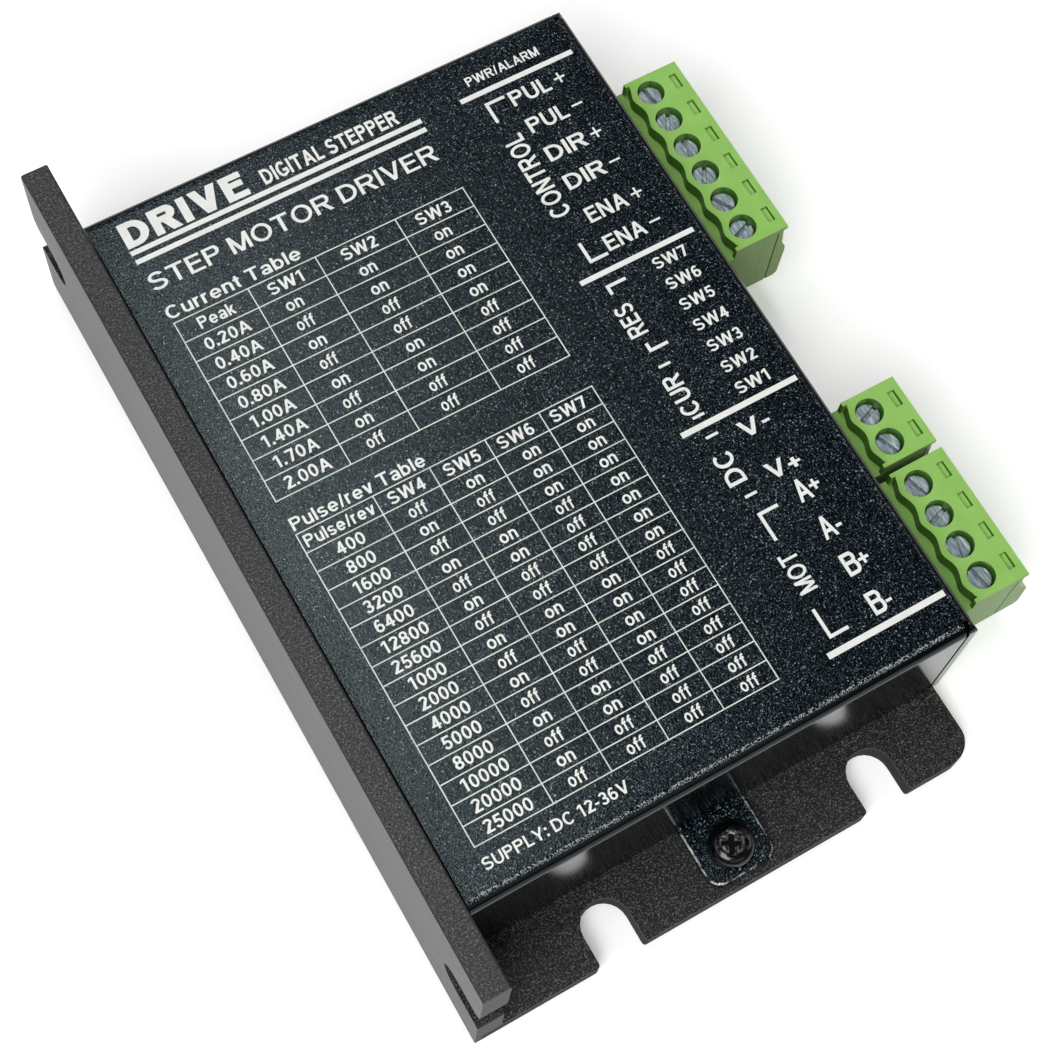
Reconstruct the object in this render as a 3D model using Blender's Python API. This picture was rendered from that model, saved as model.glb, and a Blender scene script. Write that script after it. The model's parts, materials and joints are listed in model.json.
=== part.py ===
"""Stepper driver module: an L-section aluminium heat sink, a folded sheet cover, a circuit board
and three pluggable screw-terminal blocks.

Frame: origin at the centre of the base footprint on the underside, +Z up, +Y along the long side,
+X towards the terminal side. All lengths in metres (MM converts millimetres).
"""
import math
import bpy
import bmesh
from mathutils import Vector

MM = 0.001

# ---------------------------------------------------------------- driving dimensions (millimetres)
BASE_L = 96.0            # heat sink, along Y
BASE_W = 60.0            # heat sink, along X
BASE_H = 23.8            # side wall height
WALL_T = 3.0             # side wall thickness
PLATE_T = 2.8            # bottom plate thickness
SLOT_W = 5.3             # open-ended mounting slots in the plate
SLOT_X = (-13.0, 19.0)   # slot centres
SLOT_C = 3.4             # from the end to the centre of the slot's round end
WSLOT_W = 5.0            # open-ended slots in the side wall
WSLOT_Z = 11.7
WSLOT_C = 4.1
CORNER_R = 3.0           # plan corners of the plate, terminal side

COVER_Y0, COVER_Y1 = -40.1, 41.2
COVER_X0, COVER_X1 = -26.65, 30.3
COVER_Z = 21.8           # top of the cover
SHEET = 1.0
BEND_R = 1.3             # outside bend radius
FLAP_X = 28.85           # where the end flaps stop, short of the front flap
FLAP_Z = 3.25            # lower edge of the flaps
TAB_X0, TAB_X1 = -2.0, 5.7
TAB_END = 47.2
TAB_Z = 3.0              # underside of the foot tabs
TAB_R = 1.6
SCREW_X = 1.8
SCREW_Y = 44.1

PCB_Z0, PCB_Z1 = 4.5, 6.1
PCB_X0, PCB_X1 = -26.0, 28.4
PCB_Y0, PCB_Y1 = -38.4, 39.5
PCB_SCREWS = ((-20.5, -32.5), (-20.5, 33.5))

PITCH = 3.81             # terminal pitch
POLE_X = 35.7            # clamp screw axis
HEAD_MARGIN = 2.27       # from an end pole to the block's end
BLOCKS = {               # name: (y of the far pole, poles)
    "signal": (29.9, 6),
    "power": (-14.0, 2),
    "motor": (-23.2, 4),
}
PLUG_X0 = 30.65          # plug body, cover side
PLUG_TOP = 16.4
PLUG_BOT = 5.35
LEDGE_Z = 14.7           # step beside the cover
LEDGE_X = 33.42          # lobes of the scalloped step
LOBE = 0.5               # depth of the scallops
LIP_X = 40.1
SEAM_X = 39.05           # parting line on the end faces
TONGUE_X0 = 23.0
TONGUE_Z = (7.45, 12.25)
SCREW_R = 1.38
SCREW_TOP = 15.5
HOLE_R = 1.5
WEB_Z = (12.35, 12.75)   # shoulder under the screw head
POCKET = (1.75, 1.6, 5.95)  # half x, half y, floor z
CAGE_Z = (6.9, 11.4)
PIN_Z = 9.85
HDR_X0, HDR_X1 = 20.8, 30.35
HDR_Z0, HDR_Z1 = 6.25, 13.45
HDR_WALL = 0.9

DIP_Y = -1.6
DIP_N = 7
DIP_PITCH = 2.54
DIP_X0, DIP_X1 = 20.6, 29.0
DIP_Z0, DIP_Z1 = 6.3, 12.3
LEVER_Z = 8.4            # lower (off) position of a lever's centre

LEDS = {"led_power": 35.0, "led_alarm": 38.1}
LED_Z = 9.0


# ------------------------------------------------------------------------------------- helpers
for old in list(bpy.data.objects):
    bpy.data.objects.remove(old, do_unlink=True)

MATERIALS = {}


def material(name, colour, rough, metal=0.0, emit=None):
    if name in MATERIALS:
        return MATERIALS[name]
    m = bpy.data.materials.new(name)
    m.use_nodes = True
    b = m.node_tree.nodes["Principled BSDF"]
    b.inputs["Base Color"].default_value = (*colour, 1.0)
    b.inputs["Roughness"].default_value = rough
    b.inputs["Metallic"].default_value = metal
    if emit:
        b.inputs["Emission Color"].default_value = (*emit, 1.0)
        b.inputs["Emission Strength"].default_value = 0.2
    m.diffuse_color = (*colour, 1.0)
    MATERIALS[name] = m
    return m


def finish_mesh(bm, name, origin=(0, 0, 0)):
    """Close up a bmesh given in millimetres of the shared frame and place it at its origin."""
    bmesh.ops.recalc_face_normals(bm, faces=bm.faces)
    o = Vector(origin)
    for v in bm.verts:
        v.co = (v.co - o) * MM
    me = bpy.data.meshes.new(name)
    bm.to_mesh(me)
    bm.free()
    ob = bpy.data.objects.new(name, me)
    ob.location = o * MM
    bpy.context.scene.collection.objects.link(ob)
    return ob


def add_prism(bm, pts, axis, a, b):
    """Extrude a closed outline along an axis. For Z the outline is (x, y), for Y (x, z), for X (y, z)."""
    def put(p, h):
        if axis == "Z":
            return (p[0], p[1], h)
        if axis == "Y":
            return (p[0], h, p[1])
        return (h, p[0], p[1])
    lo = [bm.verts.new(put(p, a)) for p in pts]
    hi = [bm.verts.new(put(p, b)) for p in pts]
    n = len(pts)
    bm.faces.new(lo)
    bm.faces.new(list(reversed(hi)))
    for i in range(n):
        j = (i + 1) % n
        bm.faces.new((lo[i], hi[i], hi[j], lo[j]))


def add_box(bm, x0, x1, y0, y1, z0, z1):
    add_prism(bm, [(x0, y0), (x1, y0), (x1, y1), (x0, y1)], "Z", z0, z1)


def ring(cx, cy, r, n, start=0.0):
    return [(cx + r * math.cos(start + 2 * math.pi * i / n),
             cy + r * math.sin(start + 2 * math.pi * i / n)) for i in range(n)]


def arc(cx, cy, r, a0, a1, n):
    """n + 1 points from a0 to a1 (degrees)."""
    out = []
    for i in range(n + 1):
        a = math.radians(a0 + (a1 - a0) * i / n)
        out.append((cx + r * math.cos(a), cy + r * math.sin(a)))
    return out


def rounded(pts, radii, seg=4):
    """Outline with each corner replaced by an arc of its radius (0 keeps the corner)."""
    out = []
    n = len(pts)
    for i, p in enumerate(pts):
        r = radii[i] if isinstance(radii, (list, tuple)) else radii
        if r <= 0:
            out.append(p)
            continue
        p, a, b = Vector(p), Vector(pts[i - 1]), Vector(pts[(i + 1) % n])
        u, v = (a - p).normalized(), (b - p).normalized()
        half = math.acos(max(-1, min(1, u.dot(v)))) / 2
        d = r / math.tan(half)
        c = p + (u + v).normalized() * (r / math.sin(half))
        s, e = p + u * d, p + v * d
        a0 = math.atan2(s.y - c.y, s.x - c.x)
        a1 = math.atan2(e.y - c.y, e.x - c.x)
        while a1 - a0 > math.pi:
            a1 -= 2 * math.pi
        while a1 - a0 < -math.pi:
            a1 += 2 * math.pi
        for k in range(seg + 1):
            t = a0 + (a1 - a0) * k / seg
            out.append((c.x + r * math.cos(t), c.y + r * math.sin(t)))
    return out


def solid(name, mat, build, origin=(0, 0, 0), smooth=None):
    bm = bmesh.new()
    build(bm)
    ob = finish_mesh(bm, name, origin)
    ob.data.materials.append(mat)
    if smooth:
        ob.data.shade_smooth()
        ob.data.set_sharp_from_angle(angle=math.radians(smooth))
    return ob


def tool(name, build):
    """A cutting or joining guide, left out of the build."""
    bm = bmesh.new()
    build(bm)
    ob = finish_mesh(bm, name)
    ob.hide_render = True
    ob.display_type = "WIRE"
    return ob


def boolean(ob, other, op="DIFFERENCE"):
    m = ob.modifiers.new(other.name, "BOOLEAN")
    m.operation = op
    m.solver = "EXACT"
    m.object = other
    return m


def turned(bm, cx, cy, profile, n, start=0.0):
    """Solid of revolution about a vertical axis. profile: (radius, z), first and last on the axis."""
    rings = []
    for r, z in profile:
        if r < 1e-9:
            rings.append([bm.verts.new((cx, cy, z))])
        else:
            rings.append([bm.verts.new((x, y, z)) for x, y in ring(cx, cy, r, n, start)])
    for a, b in zip(rings, rings[1:]):
        for i in range(n):
            j = (i + 1) % n
            if len(a) == 1 and len(b) == 1:
                continue
            if len(a) == 1:
                bm.faces.new((a[0], b[i], b[j]))
            elif len(b) == 1:
                bm.faces.new((a[i], b[0], a[j]))
            else:
                bm.faces.new((a[i], b[i], b[j], a[j]))


black_alu = material("heatsink_black", (0.035, 0.035, 0.036), 0.6, 0.3)
black_powder = material("cover_black", (0.018, 0.02, 0.024), 0.5)
screw_black = material("screw_black", (0.02, 0.02, 0.02), 0.3, 0.8)
zinc = material("zinc_plated", (0.62, 0.65, 0.66), 0.3, 1.0)
green = material("terminal_green", (0.27, 0.52, 0.11), 0.45)
board = material("board_green", (0.02, 0.11, 0.05), 0.4)
chip = material("chip_black", (0.02, 0.02, 0.022), 0.5)
white = material("lever_white", (0.8, 0.8, 0.78), 0.4)
dip_blue = material("dip_body", (0.03, 0.03, 0.035), 0.45)
brass = material("brass", (0.75, 0.58, 0.28), 0.35, 1.0)
pad_grey = material("pad_grey", (0.42, 0.45, 0.5), 0.8)
can_alu = material("can", (0.7, 0.7, 0.72), 0.35, 0.9)
ferrite = material("ferrite", (0.07, 0.07, 0.075), 0.7)
led_g = material("led_green", (0.12, 0.6, 0.2), 0.2)
led_r = material("led_red", (0.7, 0.06, 0.04), 0.2)

# ---------------------------------------------------------------------------------- heat sink
hx, hl = BASE_W / 2, BASE_L / 2


def base_section(bm):
    pts = [(-hx, 0), (hx, 0), (hx, PLATE_T), (-hx + WALL_T, PLATE_T), (-hx + WALL_T, BASE_H), (-hx, BASE_H)]
    add_prism(bm, rounded(pts, [0.5, 0.25, 0.25, 0.5, 0.3, 0.3], 3), "Y", -hl, hl)


heatsink = solid("heatsink_base", black_alu, base_section, smooth=35)


def plate_slots(bm):
    for cx in SLOT_X:
        for s in (-1, 1):
            r, w, f = SLOT_W / 2, SLOT_W / 2, 0.4
            out = [(cx - w - f, s * (hl + 1)), (cx - w - f, s * (hl + 0.02))]
            out += [(cx - w - f + f * math.sin(math.radians(a)),
                     s * (hl + 0.02 - f + f * math.cos(math.radians(a)))) for a in (30, 60, 90)]
            out += [(cx - r * math.cos(math.radians(a)), s * (hl - SLOT_C - r * math.sin(math.radians(a))))
                    for a in range(0, 181, 15)]
            out += [(cx + w + f - f * math.sin(math.radians(a)),
                     s * (hl + 0.02 - f + f * math.cos(math.radians(a)))) for a in (90, 60, 30)]
            out += [(cx + w + f, s * (hl + 0.02)), (cx + w + f, s * (hl + 1))]
            add_prism(bm, out, "Z", -1, PLATE_T + 1)


boolean(heatsink, tool("cut_plate_slots", plate_slots))


def wall_slots(bm):
    for s in (-1, 1):
        r, w = WSLOT_W / 2, WSLOT_W / 2
        flo, fhi = 0.4, 1.3
        out = [(s * (hl + 1), WSLOT_Z - w - flo), (s * (hl + 0.02), WSLOT_Z - w - flo)]
        out += [(s * (hl + 0.02 - flo + flo * math.cos(math.radians(a))),
                 WSLOT_Z - w - flo + flo * math.sin(math.radians(a))) for a in (30, 60, 90)]
        out += [(s * (hl - WSLOT_C - r * math.sin(math.radians(a))), WSLOT_Z - r * math.cos(math.radians(a)))
                for a in range(0, 181, 15)]
        out += [(s * (hl + 0.02 - fhi + fhi * math.cos(math.radians(a))),
                 WSLOT_Z + w + fhi - fhi * math.sin(math.radians(a))) for a in (90, 67, 45, 22)]
        out += [(s * (hl + 0.02), WSLOT_Z + w + fhi), (s * (hl + 1), WSLOT_Z + w + fhi)]
        add_prism(bm, out, "X", -hx - 1, -hx + WALL_T + 1)


boolean(heatsink, tool("cut_wall_slots", wall_slots))


def plan_corners(bm):
    for s in (-1, 1):
        cx, cy = hx - CORNER_R, hl - CORNER_R
        out = [(hx + 1, s * (hl + 1)), (cx, s * (hl + 1))]
        out += [(x, s * y) for x, y in arc(cx, cy, CORNER_R, 90, 0, 8)]
        out += [(hx + 1, s * cy)]
        add_prism(bm, out, "Z", -1, PLATE_T + 1)


boolean(heatsink, tool("cut_plan_corners", plan_corners))


def base_holes(bm):
    for s in (-1, 1):
        add_prism(bm, ring(SCREW_X, s * SCREW_Y, 1.36, 16), "Z", -1, PLATE_T + 1)
    for x, y in PCB_SCREWS:
        add_prism(bm, ring(x, y, 1.36, 12), "Z", 0.7, PLATE_T + 1)


boolean(heatsink, tool("cut_base_holes", base_holes))

# -------------------------------------------------------------------------------------- cover
RI = BEND_R - SHEET


def cover_long(bm):
    """Top sheet with the two end flaps."""
    y0, y1, zt = COVER_Y0, COVER_Y1, COVER_Z
    pts = [(y0, FLAP_Z)] + arc(y0 + BEND_R, zt - BEND_R, BEND_R, 180, 90, 6)
    pts += arc(y1 - BEND_R, zt - BEND_R, BEND_R, 90, 0, 6) + [(y1, FLAP_Z), (y1 - SHEET, FLAP_Z)]
    pts += arc(y1 - BEND_R, zt - BEND_R, RI, 0, 90, 3) + arc(y0 + BEND_R, zt - BEND_R, RI, 90, 180, 3)
    pts += [(y0 + SHEET, FLAP_Z)]
    add_prism(bm, pts, "X", COVER_X0, FLAP_X)


cover = solid("cover", black_powder, cover_long, smooth=35)


def cover_front(bm):
    """Front flap with its bend, full length between the end faces."""
    x1, zt = COVER_X1, COVER_Z
    pts = [(x1 - 4, zt)] + arc(x1 - BEND_R, zt - BEND_R, BEND_R, 90, 0, 6) + [(x1, FLAP_Z), (x1 - SHEET, FLAP_Z)]
    pts += arc(x1 - BEND_R, zt - BEND_R, RI, 0, 90, 3) + [(x1 - 4, zt - SHEET)]
    add_prism(bm, pts, "Y", COVER_Y0 + BEND_R, COVER_Y1 - BEND_R)


boolean(cover, tool("join_cover_front", cover_front), "UNION")


def cover_front_ends(bm):
    """The front flap reaches the end faces; only its flat part does, below the corner relief."""
    for ya, yb in ((COVER_Y0 + 0.05, COVER_Y0 + BEND_R + 1), (COVER_Y1 - BEND_R - 1, COVER_Y1 - 0.05)):
        pts = [(COVER_X1 - 0.015, FLAP_Z + 0.02)]
        pts += arc(COVER_X1 - BEND_R, COVER_Z - BEND_R, BEND_R - 0.015, 0, 68, 4)
        pts += arc(COVER_X1 - BEND_R, COVER_Z - BEND_R, RI + 0.03, 68, 0, 3)
        pts += [(COVER_X1 - SHEET + 0.015, FLAP_Z + 0.02)]
        add_prism(bm, pts, "Y", ya, yb)


boolean(cover, tool("join_cover_front_ends", cover_front_ends), "UNION")


def cover_corners(bm):
    """Rounds the upper corners of the front flap in line with the end bends."""
    zc, r = COVER_Z - BEND_R, BEND_R - 0.03
    for s, ye in ((-1, COVER_Y0), (1, COVER_Y1)):
        c = ye - s * BEND_R
        pts = [(c + s * r * math.cos(a), zc + r * math.sin(a)) for a in (math.radians(d) for d in range(0, 91, 15))]
        pts += [(c, COVER_Z + 1), (c + s * (r + 1), COVER_Z + 1), (c + s * (r + 1), zc)]
        add_prism(bm, pts, "X", FLAP_X + 0.05, COVER_X1 + 1)


boolean(cover, tool("cut_cover_corners", cover_corners))


def cover_tabs(bm):
    for s, ye in ((-1, COVER_Y0), (1, COVER_Y1)):
        inner = ye - s * 0.5
        pts = [(TAB_X0, inner), (TAB_X1, inner), (TAB_X1, s * TAB_END), (TAB_X0, s * TAB_END)]
        add_prism(bm, rounded(pts, [0, 0, TAB_R, TAB_R], 5), "Z", TAB_Z, TAB_Z + SHEET)


boolean(cover, tool("join_cover_tabs", cover_tabs), "UNION")


def block_span(key):
    far, n = BLOCKS[key]
    return far - (n - 1) * PITCH - HEAD_MARGIN, far + HEAD_MARGIN


def cover_windows(bm):
    g = 0.3
    a, b = block_span("signal")
    add_box(bm, COVER_X1 - 3, COVER_X1 + 3, a - g, b + g, -1, HDR_Z1 + g)
    a, _ = block_span("motor")
    _, b = block_span("power")
    add_box(bm, COVER_X1 - 3, COVER_X1 + 3, a - g, b + g, -1, HDR_Z1 + g)
    add_box(bm, COVER_X1 - 3, COVER_X1 + 3, DIP_Y - 8.7, DIP_Y + 8.7, 6.7, 11.9)
    for y in LEDS.values():
        add_prism(bm, ring(y, LED_Z, 1.25, 16), "X", COVER_X1 - 3, COVER_X1 + 3)


boolean(cover, tool("cut_cover_windows", cover_windows))


def tab_holes(bm):
    for s in (-1, 1):
        add_prism(bm, ring(SCREW_X, s * SCREW_Y, 1.6, 16), "Z", 1, TAB_Z + SHEET + 2)


boolean(cover, tool("cut_tab_holes", tab_holes))


# ------------------------------------------------------------------------------------- screws
def pan_screw(name, mat, x, y, seat, head_r, head_h, shank_r, tip, cross, depth, turn=0.0):
    """Pan-head cross-recess screw seated at z = seat."""
    def build(bm):
        prof = [(0, tip), (shank_r * 0.75, tip), (shank_r, tip + 0.3), (shank_r, seat), (head_r * 0.97, seat),
                (head_r, seat + 0.25), (head_r, seat + head_h * 0.45)]
        prof += [(head_r * math.cos(math.radians(a)) ** 0.8 * 1.0,
                  seat + head_h * (0.45 + 0.55 * math.sin(math.radians(a)))) for a in (25, 45, 62)]
        prof += [(0, seat + head_h)]
        turned(bm, x, y, prof, 24)
    ob = solid(name, mat, build, origin=(x, y, seat), smooth=40)

    def recess(bm):
        for k in range(2):
            a = turn + k * math.pi / 2
            ca, sa = math.cos(a), math.sin(a)

            def q(u, v, z):
                return bm.verts.new((x + u * ca - v * sa, y + u * sa + v * ca, z))
            w, z0, z1 = head_r * 0.2, seat + head_h - depth, seat + head_h + 0.5

            def outline(f, g, z):
                """A bar with blunt, chamfered ends."""
                c, h = cross * f, w * g
                return [q(u, v, z) for u, v in ((-c, -h * 0.55), (-c + h * 0.5, -h), (c - h * 0.5, -h), (c, -h * 0.55),
                                                (c, h * 0.55), (c - h * 0.5, h), (-c + h * 0.5, h), (-c, h * 0.55))]
            lo, hi = outline(0.58, 0.72, z0), outline(1.0, 1.0, z1)
            bm.faces.new(lo)
            bm.faces.new(list(reversed(hi)))
            for i in range(8):
                j = (i + 1) % 8
                bm.faces.new((lo[i], hi[i], hi[j], lo[j]))
    # two crossing bars: each its own tool, so neither runs through the other
    bm = bmesh.new()
    recess(bm)
    bars = finish_mesh(bm, "cut_" + name)
    bars.hide_render = True
    bars.display_type = "WIRE"
    m = boolean(ob, bars)
    m.use_self = True
    return ob


pan_screw("cover_screw_near", screw_black, SCREW_X, -SCREW_Y, TAB_Z + SHEET + 0.15, 2.45, 1.9, 1.25, 0.25, 1.85, 1.3, 1.06)
pan_screw("cover_screw_far", screw_black, SCREW_X, SCREW_Y, TAB_Z + SHEET + 0.15, 2.45, 1.9, 1.25, 0.25, 1.85, 1.3, 0.3)
for i, (x, y) in enumerate(PCB_SCREWS):
    tag = ("near", "far")[i]
    pan_screw("pcb_screw_" + tag, zinc, x, y, PCB_Z1 + 0.2, 2.4, 1.7, 1.2, 1.0, 1.6, 1.1, 0.4 + i)

    def spacer(bm, x=x, y=y):
        outer, inner = ring(x, y, 2.6, 16), ring(x, y, 1.45, 16)
        z0, z1 = PLATE_T + 0.15, PCB_Z0 - 0.15
        vo = [[bm.verts.new((px, py, z)) for px, py in outer] for z in (z0, z1)]
        vi = [[bm.verts.new((px, py, z)) for px, py in inner] for z in (z0, z1)]
        for k in range(16):
            j = (k + 1) % 16
            bm.faces.new((vo[0][k], vo[0][j], vo[1][j], vo[1][k]))
            bm.faces.new((vi[0][k], vi[1][k], vi[1][j], vi[0][j]))
            bm.faces.new((vo[1][k], vo[1][j], vi[1][j], vi[1][k]))
            bm.faces.new((vo[0][j], vo[0][k], vi[0][k], vi[0][j]))
    solid("pcb_spacer_" + tag, brass, spacer, smooth=40)


# -------------------------------------------------------------------------------------- board
def pole_ys(key):
    far, n = BLOCKS[key]
    return [far - i * PITCH for i in range(n)]


TAIL_X = 19.6            # pin tails go through the board here


def pcb_plate(bm):
    add_prism(bm, rounded([(PCB_X0, PCB_Y0), (PCB_X1, PCB_Y0), (PCB_X1, PCB_Y1), (PCB_X0, PCB_Y1)], 0.8, 3),
              "Z", PCB_Z0, PCB_Z1)


pcb = solid("pcb", board, pcb_plate)


def pcb_holes(bm):
    for x, y in PCB_SCREWS:
        add_prism(bm, ring(x, y, 1.5, 12), "Z", 0, 10)
    for key in BLOCKS:
        for y in pole_ys(key):
            add_prism(bm, ring(TAIL_X, y, 0.85, 8, math.pi / 8), "Z", 0, 10)


boolean(pcb, tool("cut_pcb_holes", pcb_holes))


# ------------------------------------------------------------------------ headers on the board
def header(key):
    y0, y1 = block_span(key)

    def body(bm):
        add_box(bm, HDR_X0, HDR_X1, y0, y1, HDR_Z0, HDR_Z1)
    ob = solid("header_" + key, green, body)

    def cavity(bm):
        add_box(bm, HDR_X0 + 1.5, HDR_X1 + 2, y0 + HDR_WALL, y1 - HDR_WALL, HDR_Z0 + HDR_WALL, HDR_Z1 - HDR_WALL)
    boolean(ob, tool("cut_header_" + key, cavity))

    def notches(bm):
        # keying notches in the upper lip, one over each pole
        for y in pole_ys(key):
            add_box(bm, HDR_X1 - 2.2, HDR_X1 + 1, y - 0.6, y + 0.6, HDR_Z1 - 1.4, HDR_Z1 + 1)
    boolean(ob, tool("cut_header_notch_" + key, notches))

    def pins(bm):
        # right-angle pins: one square bar along X, one tail down through the board
        h = 0.5
        for y in pole_ys(key):
            pts = [(TAIL_X - h, PCB_Z0 - 0.6), (TAIL_X + h, PCB_Z0 - 0.6), (TAIL_X + h, PIN_Z - h),
                   (29.0, PIN_Z - h), (29.4, PIN_Z - 0.25), (29.4, PIN_Z + 0.25), (29.0, PIN_Z + h),
                   (TAIL_X - h + 0.4, PIN_Z + h), (TAIL_X - h, PIN_Z + h - 0.4)]
            add_prism(bm, pts, "Y", y - h, y + h)
    boolean(ob, tool("join_pins_" + key, pins), "UNION")
    return ob


for key in BLOCKS:
    header(key)

# ------------------------------------------------------------------------------ plug housings
SLOT_TURN = {            # resting angle of each screw's slot, degrees from +X, far pole first
    "signal": (100, 62, 78, 60, 122, 20),
    "power": (20, 112),
    "motor": (108, 18, 74, 100),
}


def plug(key):
    y0, y1 = block_span(key)
    ys = pole_ys(key)
    sill = 1.5 if key == "motor" else 0.0

    def body(bm):
        pts = [(PLUG_X0, PLUG_BOT + 0.3), (PLUG_X0, PLUG_TOP), (LIP_X, PLUG_TOP), (LIP_X, PLUG_TOP - 0.5),
               (LIP_X - 0.45, PLUG_TOP - 0.62), (LIP_X - 0.12, 12.9), (40.6 + sill * 0.6, 11.6 - sill * 0.55),
               (40.7 + sill * 0.75, 10.8 - sill * 0.55), (40.6 + sill, PLUG_BOT + 0.5), (40.2 + sill, PLUG_BOT),
               (PLUG_X0 + 0.3, PLUG_BOT)]
        add_prism(bm, pts, "Y", y0, y1)
    org = (PLUG_X0, (y0 + y1) / 2, 10.0)
    bm = bmesh.new()
    body(bm)
    ob = finish_mesh(bm, "plug_" + key, org)
    ob.data.materials.append(green)

    def tongue(bm):
        add_box(bm, TONGUE_X0, PLUG_X0 + 1, y0 + HDR_WALL + 0.3, y1 - HDR_WALL - 0.3, *TONGUE_Z)
    boolean(ob, tool("join_tongue_" + key, tongue), "UNION")

    def scallops(bm):
        pts = [(PLUG_X0 - 1, y1 + 1), (LEDGE_X + 0.1, y1 + 1), (LEDGE_X + 0.1, y1 - 0.45), (LEDGE_X + 0.62, y1 - 0.5)]
        lo, hi = ys[-1] - 1.6, ys[0] + 1.6
        n = 10 * (len(ys) - 1) + 8
        for i in range(n + 1):
            y = hi + (lo - hi) * i / n
            wave = 0.5 - 0.5 * math.cos(2 * math.pi * (y - ys[0]) / PITCH)
            pts.append((LEDGE_X + LOBE * wave ** 0.8, y))
        pts += [(LEDGE_X + 0.62, y0 + 0.5), (LEDGE_X + 0.1, y0 + 0.45), (LEDGE_X + 0.1, y0 - 1), (PLUG_X0 - 1, y0 - 1)]
        add_prism(bm, pts, "Z", LEDGE_Z, PLUG_TOP + 1)
    boolean(ob, tool("cut_scallops_" + key, scallops))

    def screw_holes(bm):
        for y in ys:
            add_prism(bm, ring(POLE_X, y, HOLE_R, 24), "Z", WEB_Z[1], PLUG_TOP + 1)
    boolean(ob, tool("cut_screw_holes_" + key, screw_holes))

    def windows(bm):
        for y in ys:
            add_box(bm, 38.52, 39.3, y - 0.93, y + 0.93, PLUG_TOP - 0.45, PLUG_TOP + 1)
    boolean(ob, tool("cut_windows_" + key, windows))

    def seams(bm):
        """Parting lines down the end faces."""
        add_box(bm, SEAM_X - 0.08, SEAM_X + 0.08, y1 - 0.2, y1 + 1, PLUG_BOT - 1, PLUG_TOP - 0.9)
        add_box(bm, SEAM_X - 0.08, SEAM_X + 0.08, y0 - 1, y0 + 0.2, PLUG_BOT - 1, PLUG_TOP - 0.9)
    boolean(ob, tool("cut_seams_" + key, seams))

    def pockets(bm):
        for y in ys:
            add_box(bm, POLE_X - POCKET[0], POLE_X + POCKET[0], y - POCKET[1], y + POCKET[1], POCKET[2], WEB_Z[0])
    boolean(ob, tool("cut_pockets_" + key, pockets))

    def necks(bm):
        for y in ys:
            add_prism(bm, ring(POLE_X, y, 1.2, 12), "Z", WEB_Z[0] - 1, WEB_Z[1] + 0.6)
    boolean(ob, tool("cut_necks_" + key, necks))

    def entries(bm):
        for y in ys:
            add_prism(bm, rounded([(y - 1.35, 6.9), (y + 1.35, 6.9), (y + 1.35, 10.1), (y - 1.35, 10.1)], 0.5, 2),
                      "X", POLE_X + POCKET[0] - 0.5, LIP_X + 5)
    boolean(ob, tool("cut_entries_" + key, entries))

    def sockets(bm):
        for y in ys:
            add_box(bm, TONGUE_X0 - 1, POLE_X - POCKET[0] + 0.5, y - 0.8, y + 0.8, PIN_Z - 0.8, PIN_Z + 0.8)
    boolean(ob, tool("cut_sockets_" + key, sockets))

    for i, y in enumerate(ys):
        clamp(key, i + 1, y, SLOT_TURN[key][i])
    return ob


def clamp(key, num, y, turn):
    """Slotted clamp screw and the cage it lifts."""
    name = "screw_%s_%d" % (key, num)

    def body(bm):
        turned(bm, POLE_X, y, [(0, 9.35), (0.75, 9.35), (0.95, 9.6), (0.95, WEB_Z[1] + 0.12),
                               (SCREW_R, WEB_Z[1] + 0.12), (SCREW_R, SCREW_TOP - 0.15),
                               (SCREW_R - 0.15, SCREW_TOP), (0, SCREW_TOP)], 16)
    ob = solid(name, zinc, body, origin=(POLE_X, y, SCREW_TOP), smooth=40)

    def slot(bm):
        a = math.radians(turn)
        ca, sa = math.cos(a), math.sin(a)
        pts = [(POLE_X + u * ca - v * sa, y + u * sa + v * ca)
               for u, v in ((-2, -0.25), (2, -0.25), (2, 0.25), (-2, 0.25))]
        add_prism(bm, pts, "Z", SCREW_TOP - 0.8, SCREW_TOP + 1)
    boolean(ob, tool("cut_" + name, slot))

    name = "cage_%s_%d" % (key, num)

    def frame(bm):
        z0, z1 = CAGE_Z
        outer = [(y - 1.42, z0), (y + 1.42, z0), (y + 1.42, z1), (y - 1.42, z1)]
        inner = [(y - 1.05, z0 + 0.5), (y + 1.05, z0 + 0.5), (y + 1.05, z1 - 0.6), (y - 1.05, z1 - 0.6)]
        xa, xb = POLE_X - 1.45, POLE_X + 1.45
        vo = [[bm.verts.new((x, *p)) for p in outer] for x in (xa, xb)]
        vi = [[bm.verts.new((x, *p)) for p in inner] for x in (xa, xb)]
        for k in range(4):
            j = (k + 1) % 4
            bm.faces.new((vo[0][k], vo[0][j], vo[1][j], vo[1][k]))
            bm.faces.new((vi[0][k], vi[1][k], vi[1][j], vi[0][j]))
            bm.faces.new((vo[1][k], vo[1][j], vi[1][j], vi[1][k]))
            bm.faces.new((vo[0][j], vo[0][k], vi[0][k], vi[0][j]))
    ob = solid(name, zinc, frame, origin=(POLE_X, y, CAGE_Z[1]))

    def thread(bm):
        add_prism(bm, ring(POLE_X, y, 1.03, 16), "Z", CAGE_Z[1] - 1.0, CAGE_Z[1] + 1)
    boolean(ob, tool("cut_" + name, thread))


for key in BLOCKS:
    plug(key)


# --------------------------------------------------------------------------------- DIP switch
def dip_box(bm):
    half = DIP_N * DIP_PITCH / 2 + 0.9
    add_box(bm, DIP_X0, DIP_X1, DIP_Y - half, DIP_Y + half, DIP_Z0, DIP_Z1)


dip = solid("dip_body", dip_blue, dip_box)
DIP_YS = [DIP_Y + (DIP_N - 1) / 2 * DIP_PITCH - i * DIP_PITCH for i in range(DIP_N)]


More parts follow.
